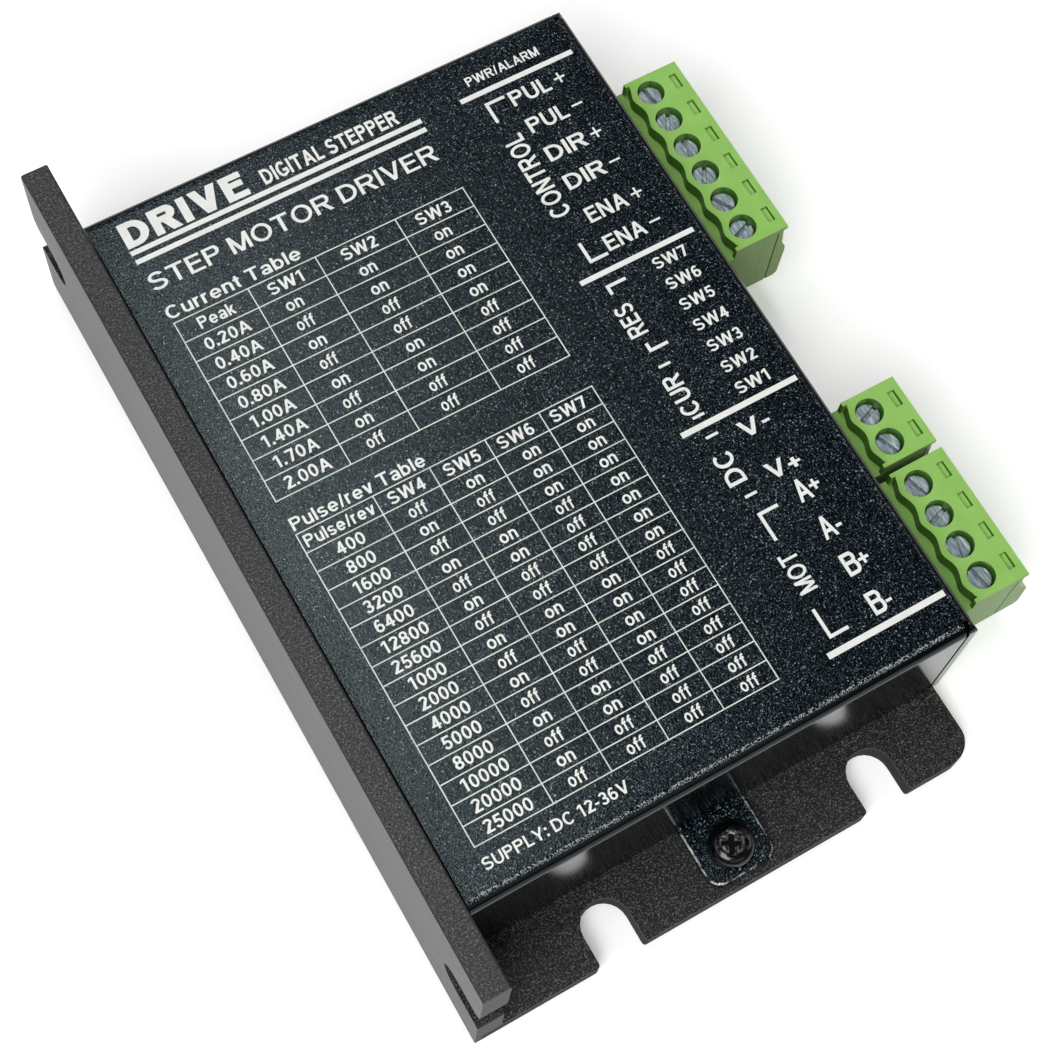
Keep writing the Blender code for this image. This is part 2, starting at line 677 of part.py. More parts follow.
def dip_slots(bm):
    for y in DIP_YS:
        add_box(bm, DIP_X1 - 1.1, DIP_X1 + 1, y - 0.7, y + 0.7, LEVER_Z - 1.0, LEVER_Z + 2.6)


boolean(dip, tool("cut_dip_slots", dip_slots))
for i, y in enumerate(DIP_YS):
    def lever(bm, y=y):
        x0, x1 = DIP_X1 - 0.95, DIP_X1 + 0.75
        pts = [(x0, LEVER_Z - 0.85), (x1 - 0.3, LEVER_Z - 0.85), (x1, LEVER_Z - 0.5), (x1, LEVER_Z + 0.5),
               (x1 - 0.3, LEVER_Z + 0.85), (x0, LEVER_Z + 0.85)]
        add_prism(bm, pts, "Y", y - 0.55, y + 0.55)
    # levers are numbered from the power end, so the one beside the signal block is 7
    solid("dip_lever_%d" % (DIP_N - i), white, lever, origin=(DIP_X1, y, LEVER_Z))


# --------------------------------------------------------------------------------------- LEDs
def led(name, mat, y):
    def body(bm):
        n = 16
        prof = [(0, 24.0), (1.3, 24.0), (1.3, 28.7), (1.0, 28.7), (1.0, 29.9)]
        prof += [(1.0 * math.cos(math.radians(a)), 29.9 + 0.8 * math.sin(math.radians(a))) for a in (30, 60)]
        prof += [(0, 30.7)]
        rings = []
        for r, x in prof:
            if r < 1e-9:
                rings.append([bm.verts.new((x, y, LED_Z))])
            else:
                rings.append([bm.verts.new((x, a, b)) for a, b in ring(y, LED_Z, r, n)])
        for a, b in zip(rings, rings[1:]):
            for i in range(n):
                j = (i + 1) % n
                if len(a) == 1:
                    bm.faces.new((a[0], b[i], b[j]))
                elif len(b) == 1:
                    bm.faces.new((a[i], b[0], a[j]))
                else:
                    bm.faces.new((a[i], b[i], b[j], a[j]))
    ob = solid(name, mat, body, smooth=40)

    def foot(bm):
        add_box(bm, 24.4, 27.4, y - 0.9, y + 0.9, PCB_Z1 + 0.2, LED_Z - 0.4)
    boolean(ob, tool("join_" + name, foot), "UNION")


led("led_power", led_g, LEDS["led_power"])
led("led_alarm", led_r, LEDS["led_alarm"])

# ------------------------------------------------------------------------- board components
TOP = PCB_Z1 + 0.2


def chip_box(name, mat, cx, cy, wx, wy, z0, z1, bevel=0.2):
    def body(bm):
        x0, x1, y0, y1 = cx - wx / 2, cx + wx / 2, cy - wy / 2, cy + wy / 2
        lo = [bm.verts.new(p) for p in ((x0, y0, z0), (x1, y0, z0), (x1, y1, z0), (x0, y1, z0))]
        md = [bm.verts.new(p) for p in ((x0, y0, z1 - bevel), (x1, y0, z1 - bevel), (x1, y1, z1 - bevel), (x0, y1, z1 - bevel))]
        hi = [bm.verts.new(p) for p in ((x0 + bevel, y0 + bevel, z1), (x1 - bevel, y0 + bevel, z1),
                                        (x1 - bevel, y1 - bevel, z1), (x0 + bevel, y1 - bevel, z1))]
        bm.faces.new(lo)
        bm.faces.new(hi)
        for a, b in ((lo, md), (md, hi)):
            for i in range(4):
                j = (i + 1) % 4
                bm.faces.new((a[i], a[j], b[j], b[i]))
    return solid(name, mat, body)


def capacitor(bm):
    turned(bm, -12.0, -24.0, [(0, TOP), (4.6, TOP), (5.0, TOP + 0.4), (5.0, TOP + 1.3), (4.75, TOP + 1.7), (5.0, TOP + 2.1),
                              (5.0, TOP + 12.0), (4.7, TOP + 12.4), (0, TOP + 12.4)], 24)


solid("bulk_capacitor", can_alu, capacitor, smooth=35)


def inductor(bm):
    add_prism(bm, rounded([(-18, -10), (-8, -10), (-8, 0), (-18, 0)], 2.2, 3), "Z", TOP, TOP + 5)


solid("buck_inductor", ferrite, inductor)
chip_box("microcontroller", chip, -4.0, 12.0, 10.0, 10.0, TOP, TOP + 1.4)
chip_box("regulator", chip, -18.0, 9.0, 6.6, 3.6, TOP, TOP + 1.7)
for i, y in enumerate((27.0, 21.0, 15.0)):
    chip_box("optocoupler_%d" % (i + 1), chip, 12.0, y, 6.4, 4.6, TOP, TOP + 2.1)
chip_box("sense_resistor", ferrite, 10.0, -27.0, 6.3, 3.2, TOP, TOP + 0.7, 0.1)
chip_box("driver_chip", chip, 6.0, -12.0, 9.7, 6.4, PLATE_T + 0.75, PCB_Z0 - 0.1, 0.15)
chip_box("thermal_pad", pad_grey, 6.0, -12.0, 11.0, 8.0, PLATE_T + 0.1, PLATE_T + 0.65, 0.05)

bpy.context.view_layer.update()
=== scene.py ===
import json
import math

import bpy
import bmesh
from mathutils import Matrix, Vector
from mathutils.geometry import delaunay_2d_cdt


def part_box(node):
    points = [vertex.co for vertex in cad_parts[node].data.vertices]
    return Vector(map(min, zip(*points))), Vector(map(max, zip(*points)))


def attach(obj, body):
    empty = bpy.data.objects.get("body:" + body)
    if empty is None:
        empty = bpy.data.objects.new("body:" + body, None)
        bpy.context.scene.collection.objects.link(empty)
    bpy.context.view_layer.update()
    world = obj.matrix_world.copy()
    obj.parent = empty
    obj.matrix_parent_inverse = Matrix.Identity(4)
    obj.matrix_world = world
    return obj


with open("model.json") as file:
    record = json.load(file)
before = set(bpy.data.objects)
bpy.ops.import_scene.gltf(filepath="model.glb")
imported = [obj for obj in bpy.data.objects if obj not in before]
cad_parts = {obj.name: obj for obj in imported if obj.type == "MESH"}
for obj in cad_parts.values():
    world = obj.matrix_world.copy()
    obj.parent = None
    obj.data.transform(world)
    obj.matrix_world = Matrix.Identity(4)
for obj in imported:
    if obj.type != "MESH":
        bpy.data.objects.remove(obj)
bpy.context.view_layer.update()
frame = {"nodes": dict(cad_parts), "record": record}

MM = 0.001
NODES = frame["nodes"]


# ------------------------------------------------------------------------------------ materials
class Mat:
    """A small builder for procedural materials. Textures use object coordinates, in metres."""

    def __init__(self, name):
        self.m = bpy.data.materials.new(name)
        self.m.use_nodes = True
        self.nt = self.m.node_tree
        self.nt.nodes.clear()
        self.out = self.nt.nodes.new("ShaderNodeOutputMaterial")
        self.b = self.nt.nodes.new("ShaderNodeBsdfPrincipled")
        self.nt.links.new(self.b.outputs[0], self.out.inputs[0])
        self.tc = self.nt.nodes.new("ShaderNodeTexCoord")
        self.obj = self.tc.outputs["Object"]

    def put(self, sock, v):
        if v is None:
            return
        if isinstance(v, bpy.types.NodeSocket):
            self.nt.links.new(v, sock)
        elif isinstance(v, (tuple, list)) and len(v) == 3 and sock.type == "RGBA":
            sock.default_value = (*v, 1.0)
        else:
            sock.default_value = v

    def set(self, **kw):
        for k, v in kw.items():
            self.put(self.b.inputs[k.replace("_", " ")], v)
        return self

    def coords(self, scale=(1, 1, 1), rot=(0, 0, 0), loc=(0, 0, 0)):
        n = self.nt.nodes.new("ShaderNodeMapping")
        self.put(n.inputs["Vector"], self.obj)
        n.inputs["Scale"].default_value = scale
        n.inputs["Rotation"].default_value = rot
        n.inputs["Location"].default_value = loc
        return n.outputs[0]

    def noise(self, scale, detail=2.0, rough=0.5, vec=None, dist=0.0):
        n = self.nt.nodes.new("ShaderNodeTexNoise")
        self.put(n.inputs["Vector"], vec or self.obj)
        n.inputs["Scale"].default_value = scale
        n.inputs["Detail"].default_value = detail
        n.inputs["Roughness"].default_value = rough
        n.inputs["Distortion"].default_value = dist
        return n.outputs[0]

    def cells(self, scale, vec=None, feature="F1", rand=1.0):
        n = self.nt.nodes.new("ShaderNodeTexVoronoi")
        n.feature = feature
        self.put(n.inputs["Vector"], vec or self.obj)
        n.inputs["Scale"].default_value = scale
        n.inputs["Randomness"].default_value = rand
        return n.outputs["Distance"]

    def ramp(self, fac, stops, mode="LINEAR"):
        n = self.nt.nodes.new("ShaderNodeValToRGB")
        n.color_ramp.interpolation = mode
        e = n.color_ramp.elements
        while len(e) < len(stops):
            e.new(0.5)
        for k, (pos, col) in enumerate(stops):
            e[k].position = pos
            e[k].color = (*col, 1.0) if isinstance(col, (tuple, list)) else (col, col, col, 1.0)
        self.put(n.inputs[0], fac)
        return n.outputs[0]

    def span(self, v, a, b, lo=0.0, hi=1.0):
        n = self.nt.nodes.new("ShaderNodeMapRange")
        self.put(n.inputs["Value"], v)
        n.inputs["From Min"].default_value = a
        n.inputs["From Max"].default_value = b
        n.inputs["To Min"].default_value = lo
        n.inputs["To Max"].default_value = hi
        return n.outputs[0]

    def math(self, op, a, b=0.0):
        n = self.nt.nodes.new("ShaderNodeMath")
        n.operation = op
        self.put(n.inputs[0], a)
        self.put(n.inputs[1], b)
        return n.outputs[0]

    def mix(self, fac, a, b):
        n = self.nt.nodes.new("ShaderNodeMix")
        n.data_type = "RGBA"
        self.put(n.inputs["Factor"], fac)
        self.put([s for s in n.inputs if s.name == "A" and s.type == "RGBA"][0], a)
        self.put([s for s in n.inputs if s.name == "B" and s.type == "RGBA"][0], b)
        return [s for s in n.outputs if s.type == "RGBA"][0]

    def mixf(self, fac, a, b):
        n = self.nt.nodes.new("ShaderNodeMix")
        n.data_type = "FLOAT"
        self.put(n.inputs["Factor"], fac)
        self.put([s for s in n.inputs if s.name == "A" and s.type == "VALUE"][0], a)
        self.put([s for s in n.inputs if s.name == "B" and s.type == "VALUE"][0], b)
        return n.outputs[0]

    def facing(self, axis, a, b):
        """0 to 1 as the surface's own normal turns towards an axis."""
        s = self.nt.nodes.new("ShaderNodeSeparateXYZ")
        self.put(s.inputs[0], self.tc.outputs["Normal"])
        v = s.outputs["XYZ".index(axis[-1])]
        if axis[0] == "-":
            v = self.math("MULTIPLY", v, -1.0)
        elif axis[0] == "|":
            v = self.math("ABSOLUTE", v)
        return self.span(v, a, b)

    def above(self, axis, a, b):
        """0 to 1 as a point's own coordinate goes from a to b, in metres."""
        s = self.nt.nodes.new("ShaderNodeSeparateXYZ")
        self.put(s.inputs[0], self.obj)
        return self.span(s.outputs["XYZ".index(axis)], a, b)

    def edge(self, lo=0.18, hi=0.93):
        """1 on the narrow bevels between a level face and an upright one."""
        a = self.facing("|Z", lo, lo + 0.12)
        b = self.facing("|Z", hi, hi + 0.05)
        return self.math("MULTIPLY", a, self.math("SUBTRACT", 1.0, b))

    def bump(self, height, dist, strength=1.0, under=None):
        n = self.nt.nodes.new("ShaderNodeBump")
        n.inputs["Strength"].default_value = strength
        n.inputs["Distance"].default_value = dist
        self.put(n.inputs["Height"], height)
        if under is not None:
            self.put(n.inputs["Normal"], under)
        return n.outputs[0]


def make_materials():
    out = {}

    # anodised, etched extrusion: coarse grain on the plate, a mottled matt grain on top of the wall
    m = Mat("anodised_black")
    up = m.facing("Z", 0.75, 0.95)
    grain = m.noise(6000, 1.0, 0.55, dist=0.7)
    soft = m.noise(5000, 2.0, 0.6, dist=0.4)
    fine = m.noise(9500, 2.0, 0.6)
    drift = m.noise(120, 2.0, 0.5)
    high = m.above("Z", 0.012, 0.016)
    speck = m.ramp(grain, [(0.40, (0.0004, 0.0005, 0.0005)), (0.50, (0.0065, 0.0072, 0.0068)), (0.58, (0.034, 0.036, 0.034)),
                           (0.68, (0.135, 0.14, 0.13))])
    rim = m.ramp(soft, [(0.36, (0.013, 0.014, 0.0135)), (0.5, (0.036, 0.038, 0.037)), (0.62, (0.088, 0.092, 0.089)),
                        (0.72, (0.17, 0.175, 0.17))])
    # the sides keep faint lines from the extrusion, along Y, under a fine blasted grain
    drawn = m.noise(1.0, 3.0, 0.6, vec=m.coords((1500, 30, 1500)))
    blast = m.noise(5200, 2.0, 0.6)
    plain = m.ramp(m.math("ADD", m.math("MULTIPLY", blast, 0.75), m.math("MULTIPLY", drawn, 0.25)),
                   [(0.36, (0.008, 0.008, 0.0082)), (0.5, (0.020, 0.020, 0.0203)), (0.64, (0.045, 0.045, 0.045))])
    # the upright faces of the plate, its edges and the walls of its slots (not the outer face on -X), and at half
    # strength the upright ends, get painted shade: darker and duller
    painted_shade_sides = m.math("MULTIPLY", m.math("SUBTRACT", 1.0, up), m.math("SUBTRACT", 1.0, m.above("Z", 0.0024, 0.0028)))
    painted_shade_sides = m.math("MULTIPLY", painted_shade_sides, m.above("X", -0.0297, -0.0290))
    painted_shade_sides = m.math("MAXIMUM", painted_shade_sides, m.math("MULTIPLY", m.facing("|Y", 0.9, 0.99), 0.45))
    # painted shade: those faces are mixed towards near-black
    col = m.mix(up, m.mix(painted_shade_sides, plain, (0.006, 0.006, 0.006)), m.mix(high, speck, rim))
    col = m.mix(m.span(drift, 0.35, 0.7, 0.0, 0.15), col, (0.016, 0.0165, 0.016))
    side = m.mixf(painted_shade_sides, m.math("ADD", m.span(blast, 0.25, 0.75, 0.30, 0.44), m.span(drawn, 0.3, 0.7, 0.0, 0.07)),
                  m.span(fine, 0.2, 0.8, 0.7, 0.82))
    m.set(Base_Color=col, Metallic=0.0, Roughness=m.mixf(up, side, m.span(grain, 0.2, 0.8, 0.42, 0.6)))
    b1 = m.bump(m.math("MULTIPLY", m.mixf(high, grain, soft), m.math("MULTIPLY", up, m.mixf(high, 1.0, 0.5))), 4.8e-5)
    b2 = m.bump(m.math("MULTIPLY", blast, m.math("SUBTRACT", 1.0, up)), 1.0e-5, under=b1)
    m.set(Normal=m.bump(fine, 3.0e-6, under=b2))
    m.b.inputs["Specular IOR Level"].default_value = 0.28
    out["heatsink_black"] = m.m

    # textured powder coat, blue-black with bright speckle whose brightest specks are partly painted glints; the folded
    # flaps are smoother and get a flat painted shade
    m = Mat("powder_black")
    up = m.facing("|Z", 0.88, 0.975)
    grain = m.noise(5400, 1.0, 0.55, dist=0.6)
    spots = m.noise(7600, 0.6, 0.5)
    drift = m.noise(90, 2.0, 0.5)
    speck = m.math("ADD", m.math("MULTIPLY", grain, 0.6), m.math("MULTIPLY", spots, 0.4))
    speck = m.math("ADD", speck, m.span(drift, 0.3, 0.7, -0.01, 0.01))
    # the brightest specks are partly painted glints; the darker ones are the coat's grain tone
    col = m.ramp(speck, [(0.45, (0.0001, 0.0005, 0.0012)), (0.51, (0.0018, 0.0050, 0.0080)), (0.57, (0.0075, 0.014, 0.021)),
                         (0.63, (0.050, 0.070, 0.083)), (0.70, (0.35, 0.41, 0.42))])
    # painted glint: bright specks in the band where the sheet starts to bend, in full along the bend turned to -Y and
    # faintly elsewhere
    bend_glint = m.math("MULTIPLY", m.span(m.facing("|Z", 0.9, 1.0), 0.995, 0.9), m.span(spots, 0.49, 0.57))
    bend_glint = m.math("MULTIPLY", bend_glint, m.math("MAXIMUM", m.facing("-Y", 0.0, 0.06), 0.15))
    # painted glint along the bend, in pale blue-grey
    col = m.mix(m.math("MULTIPLY", bend_glint, 0.75), col, (0.42, 0.47, 0.48))
    # painted shade: faces that aren't level, the bends and flaps, take a flat near-black, so the speckle ends where the
    # sheet starts to bend
    col = m.mix(up, (0.0010, 0.0014, 0.0020), col)
    # along the rims of the two foot tabs the coat is partly rubbed through and partly given a painted highlight,
    # strongest on the -X side
    xyz = m.nt.nodes.new("ShaderNodeSeparateXYZ")
    m.put(xyz.inputs[0], m.obj)
    ax = m.math("SUBTRACT", m.math("ABSOLUTE", m.math("SUBTRACT", xyz.outputs[0], 0.00185)), 0.00225)
    ay = m.math("SUBTRACT", m.math("ABSOLUTE", xyz.outputs[1]), 0.0456)
    px, py = m.math("MAXIMUM", ax, 0.0), m.math("MAXIMUM", ay, 0.0)
    far = m.math("SQRT", m.math("ADD", m.math("MULTIPLY", px, px), m.math("MULTIPLY", py, py)))
    rim = m.math("SUBTRACT", m.math("ADD", far, m.math("MINIMUM", m.math("MAXIMUM", ax, ay), 0.0)), 0.0016)
    rim = m.math("ADD", rim, m.span(m.noise(2600, 2.0, 0.6), 0.3, 0.7, -0.00007, 0.00007))
    wear = m.math("MULTIPLY", m.span(rim, -0.00019, -0.00011), m.math("SUBTRACT", 1.0, m.above("Z", 0.0042, 0.0046)))
    wear = m.math("MULTIPLY", wear, m.math("MULTIPLY", m.above("Z", 0.0036, 0.0038), m.span(rim, 0.00025, 0.00015)))
    wear = m.math("MULTIPLY", wear, m.math("MAXIMUM", m.span(xyz.outputs[0], 0.0005, -0.001), 0.5))
    wear = m.math("MULTIPLY", wear, m.span(m.noise(900, 2.0, 0.6), 0.40, 0.5))
    # worn bare coat and painted highlight along the tab rims, in pale grey
    col = m.mix(wear, col, m.ramp(spots, [(0.35, (0.20, 0.24, 0.24)), (0.6, (0.72, 0.78, 0.78))]))
    m.set(Base_Color=col, Metallic=0.0, Roughness=m.mixf(up, m.span(spots, 0.25, 0.75, 0.1, 0.18), m.span(spots, 0.25, 0.75, 0.11, 0.2)))
    m.set(Normal=m.bump(m.math("MULTIPLY", grain, m.mixf(up, 0.06, 1.0)), 3.0e-5))
    m.b.inputs["Specular IOR Level"].default_value = 0.25
    m.b.inputs["Specular Tint"].default_value = (0.80, 0.97, 1.0, 1.0)
    out["cover_black"] = m.m

    # moulded terminal plastic: matt ends with drag lines, smoother faces, and painted shade in a deep green inside the
    # wells and on faces turned to -X
    m = Mat("moulded_green")
    end = m.facing("|Y", 0.9, 0.99)
    side = m.math("SUBTRACT", 1.0, m.facing("|Z", 0.25, 0.6))
    shelf = m.math("MULTIPLY", m.above("Z", 0.0148, 0.0152), m.math("MULTIPLY", side, m.math("SUBTRACT", 1.0, m.above("X", 0.0397, 0.0399))))
    painted_recess_shade = m.math("MAXIMUM", m.facing("-X", 0.05, 0.5), m.math("MULTIPLY", shelf, m.math("SUBTRACT", 1.0, end)))
    mottle = m.noise(420, 3.0, 0.55)
    fine = m.noise(5200, 2.0, 0.5)
    drag = m.noise(1.0, 2.0, 0.6, vec=m.coords((2600, 260, 160), (0, 0.12, 0)))
    body = m.ramp(mottle, [(0.3, (0.253, 0.495, 0.104)), (0.55, (0.277, 0.53, 0.117)), (0.8, (0.305, 0.565, 0.138))])
    deep = m.ramp(mottle, [(0.3, (0.032, 0.115, 0.006)), (0.7, (0.05, 0.155, 0.010))])
    dull = m.ramp(drag, [(0.3, (0.130, 0.235, 0.054)), (0.6, (0.172, 0.285, 0.078)), (0.85, (0.225, 0.335, 0.115))])
    # painted shade: the wells and the faces turned to -X take the deep green
    col = m.mix(painted_recess_shade, m.mix(end, body, dull), deep)
    m.set(Base_Color=col, Roughness=m.mixf(end, m.span(fine, 0.2, 0.8, 0.32, 0.42), m.span(drag, 0.2, 0.8, 0.42, 0.6)))
    m.set(Normal=m.bump(m.mixf(end, fine, drag), 6e-6))
    m.b.inputs["Specular IOR Level"].default_value = 0.36
    out["terminal_green"] = m.m

    # plated steel of the clamp screws and cages: cool grey with scratches left by the driver
    m = Mat("plated_zinc")
    brush = m.noise(1.0, 3.0, 0.6, vec=m.coords((4200, 620, 2600), (0, 0, 0.9)))
    stain = m.noise(1300, 3.0, 0.6)
    col = m.ramp(brush, [(0.33, (0.22, 0.285, 0.315)), (0.5, (0.37, 0.45, 0.485)), (0.62, (0.60, 0.68, 0.71)), (0.72, (0.95, 0.97, 0.98))])
    col = m.mix(m.span(stain, 0.4, 0.7, 0.0, 0.35), col, (0.27, 0.34, 0.375))
    m.set(Base_Color=col, Metallic=0.45, Roughness=m.span(brush, 0.25, 0.75, 0.22, 0.4), Normal=m.bump(brush, 1.6e-5))
    out["zinc"] = m.m

    # blackened screws: glossy, with painted glints on the edges of the recess
    m = Mat("blackened_steel")
    fine = m.noise(2600, 3.0, 0.6)
    wear = m.noise(1400, 4.0, 0.65)
    col = m.ramp(wear, [(0.35, (0.0015, 0.0015, 0.0018)), (0.66, (0.005, 0.005, 0.0055)), (0.82, (0.03, 0.03, 0.03))])
    # painted glints: light grey patches on the bevels at the edges of the recess
    xyz = m.nt.nodes.new("ShaderNodeSeparateXYZ")
    m.put(xyz.inputs[0], m.obj)
    dx = m.math("SUBTRACT", xyz.outputs[0], 0.0018)
    dy = m.math("SUBTRACT", m.math("ABSOLUTE", xyz.outputs[1]), 0.0441)
    away = m.math("SQRT", m.math("ADD", m.math("MULTIPLY", dx, dx), m.math("MULTIPLY", dy, dy)))
    recess_glint = m.math("MULTIPLY", m.edge(0.25, 0.95), m.span(away, 0.00135, 0.00115))
    recess_glint = m.math("MULTIPLY", recess_glint, m.span(m.noise(1700, 2.0, 0.6), 0.38, 0.52))
    # painted glint on the recess edges
    col = m.mix(recess_glint, col, m.ramp(fine, [(0.3, (0.28, 0.29, 0.28)), (0.7, (0.72, 0.74, 0.72))]))
    m.set(Base_Color=col, Metallic=0.0, Roughness=m.span(fine, 0.25, 0.75, 0.1, 0.2), Normal=m.bump(fine, 6e-6))
    m.b.inputs["Specular IOR Level"].default_value = 0.38
    out["screw_black"] = m.m

    m = Mat("bright_steel")
    fine = m.noise(3000, 3.0, 0.6)
    m.set(Base_Color=m.ramp(fine, [(0.3, (0.48, 0.48, 0.47)), (0.7, (0.66, 0.66, 0.65))]), Metallic=1.0,
          Roughness=m.span(fine, 0.25, 0.75, 0.2, 0.4), Normal=m.bump(fine, 6e-6))
    out["screw_steel"] = m.m

    m = Mat("turned_brass")
    rings = m.noise(1.0, 2.0, 0.6, vec=m.coords((200, 200, 9000)))
    m.set(Base_Color=m.ramp(rings, [(0.3, (0.62, 0.44, 0.16)), (0.7, (0.78, 0.6, 0.28))]), Metallic=1.0,
          Roughness=m.span(rings, 0.25, 0.75, 0.22, 0.4), Normal=m.bump(rings, 5e-6))
    out["brass"] = m.m

    # tinned copper of the header pins
    m = Mat("tinned_pins")
    fine = m.noise(4000, 3.0, 0.6)
    m.set(Base_Color=m.ramp(fine, [(0.3, (0.62, 0.6, 0.55)), (0.7, (0.8, 0.78, 0.73))]), Metallic=1.0,
          Roughness=m.span(fine, 0.25, 0.75, 0.2, 0.36), Normal=m.bump(fine, 5e-6))
    out["pins"] = m.m

    # circuit board: solder mask over copper tracks
    m = Mat("solder_mask")
    tracks = m.cells(620, feature="DISTANCE_TO_EDGE")
    copper = m.span(tracks, 0.06, 0.09)
    weave = m.noise(2500, 2.0, 0.5)
    col = m.mix(copper, (0.010, 0.065, 0.026), m.ramp(weave, [(0.3, (0.012, 0.105, 0.04)), (0.7, (0.02, 0.14, 0.055))]))
    m.set(Base_Color=col, Roughness=m.span(weave, 0.25, 0.75, 0.22, 0.34), Normal=m.bump(m.math("MULTIPLY", copper, 1.0), 1.5e-5))
    out["board"] = m.m

    def moulded(name, dark, light, rough, grain=2600, dist=8e-6):
        p = Mat(name)
        n = p.noise(grain, 3.0, 0.55)
        big = p.noise(grain * 0.12, 2.0, 0.5)
        col = p.mix(p.span(big, 0.35, 0.7, 0.0, 0.5), p.ramp(n, [(0.3, dark), (0.7, light)]), dark)
        p.set(Base_Color=col, Roughness=p.span(n, 0.25, 0.75, rough - 0.06, rough + 0.08), Normal=p.bump(n, dist))
        return p

    out["chip"] = moulded("package_black", (0.012, 0.012, 0.013), (0.028, 0.028, 0.03), 0.5).m
    out["switch_body"] = moulded("switch_black", (0.014, 0.014, 0.016), (0.03, 0.03, 0.034), 0.42).m
    out["switch_lever"] = moulded("lever_white", (0.70, 0.70, 0.67), (0.82, 0.82, 0.79), 0.36, 1800, 4e-6).m
    out["ferrite"] = moulded("ferrite_grey", (0.045, 0.045, 0.05), (0.085, 0.085, 0.09), 0.62, 3800, 1.4e-5).m
    out["pad"] = moulded("gap_pad_grey", (0.32, 0.35, 0.40), (0.42, 0.45, 0.50), 0.75, 2200, 1.2e-5).m

    m = Mat("can_aluminium")
    brush = m.noise(1.0, 3.0, 0.6, vec=m.coords((600, 600, 7000)))
    m.set(Base_Color=m.ramp(brush, [(0.3, (0.58, 0.58, 0.6)), (0.7, (0.76, 0.76, 0.78))]), Metallic=1.0,
          Roughness=m.span(brush, 0.25, 0.75, 0.24, 0.4), Normal=m.bump(brush, 4e-6))
    out["can"] = m.m

    def lens(name, deep, bright, glow):
        p = Mat(name)
        n = p.noise(900, 2.0, 0.5)
        p.set(Base_Color=p.ramp(n, [(0.3, deep), (0.7, bright)]), Roughness=p.span(n, 0.3, 0.7, 0.08, 0.16), Normal=p.bump(n, 4e-6))
        p.b.inputs["Transmission Weight"].default_value = 0.35
        p.b.inputs["IOR"].default_value = 1.5
        p.b.inputs["Emission Color"].default_value = (*glow, 1.0)
        p.b.inputs["Emission Strength"].default_value = 0.25
        return p.m
    out["lens_green"] = lens("lens_green", (0.03, 0.34, 0.08), (0.08, 0.55, 0.16), (0.05, 0.6, 0.12))
    out["lens_red"] = lens("lens_red", (0.42, 0.03, 0.02), (0.66, 0.06, 0.04), (0.7, 0.05, 0.03))

    # screen-printed ink: off-white, a little uneven where it bridges the powder coat
    m = Mat("screen_ink")
    grain = m.noise(4700, 2.5, 0.6, dist=0.6)
    patch = m.noise(600, 3.0, 0.6)
    col = m.ramp(patch, [(0.3, (0.74, 0.75, 0.715)), (0.6, (0.81, 0.82, 0.785)), (0.85, (0.87, 0.875, 0.85))])
    col = m.mix(m.span(grain, 0.66, 0.8, 0.0, 0.35), col, (0.42, 0.43, 0.42))
    m.set(Base_Color=col, Roughness=m.span(grain, 0.25, 0.75, 0.42, 0.6), Normal=m.bump(grain, 9e-6))
    out["ink"] = m.m

    # the thin table rules let some of the coat show through
    m = Mat("screen_ink_thin")
    grain = m.noise(4700, 2.5, 0.6, dist=0.6)
    patch = m.noise(260, 3.0, 0.6)
    col = m.ramp(patch, [(0.3, (0.50, 0.60, 0.52)), (0.55, (0.68, 0.75, 0.68)), (0.8, (0.76, 0.78, 0.70))])
    col = m.mix(m.span(grain, 0.58, 0.74, 0.0, 0.45), col, (0.2, 0.24, 0.22))
    m.set(Base_Color=col, Roughness=m.span(grain, 0.25, 0.75, 0.42, 0.6), Normal=m.bump(grain, 9e-6))
    out["ink_thin"] = m.m
    return out


MATS = make_materials()
SLOT_OF = {s["node"]: s["material_slot"] for s in frame["record"]["subparts"]}

for name, ob in NODES.items():
    ob.data.materials.clear()
    ob.data.materials.append(MATS[SLOT_OF[name]])
    for p in ob.data.polygons:
        p.material_index = 0


# ------------------------------------------------------------------- soft edges on the CAD nodes
def soften(name, width, seg=2, angle=32.0):
    ob = NODES[name]
    w = ob.modifiers.new("weld", "WELD")
    w.merge_threshold = 2e-6
    d = ob.modifiers.new("flat", "DECIMATE")
    d.decimate_type = "DISSOLVE"
    d.angle_limit = math.radians(0.6)
    b = ob.modifiers.new("edges", "BEVEL")
    b.width = width * MM
    b.segments = seg
    b.limit_method = "ANGLE"
    b.angle_limit = math.radians(angle)
    b.use_clamp_overlap = True
    b.loop_slide = False
    b.miter_outer = "MITER_SHARP"
    n = ob.modifiers.new("normals", "WEIGHTED_NORMAL")
    n.mode = "FACE_AREA"
    n.weight = 50
    n.keep_sharp = False
    for p in ob.data.polygons:
        p.use_smooth = True


EDGES = {"heatsink_base": 0.2, "cover": 0.10, "cover_screw_near": 0.05, "cover_screw_far": 0.05, "dip_body": 0.08,
         "pcb": 0.06, "bulk_capacitor": 0.08, "buck_inductor": 0.12}
for name in NODES:
    if name.startswith("plug_"):
        EDGES[name] = 0.13
    elif name.startswith("screw_"):
        EDGES[name] = 0.05
    elif name.startswith("cage_"):
        EDGES[name] = 0.06
    elif name.startswith("header_"):
        EDGES[name] = 0.08
    elif name.startswith(("dip_lever", "led_")):
        EDGES[name] = 0.06
    elif name.startswith("pcb_screw"):
        EDGES[name] = 0.05
for name, width in EDGES.items():
    soften(name, width)

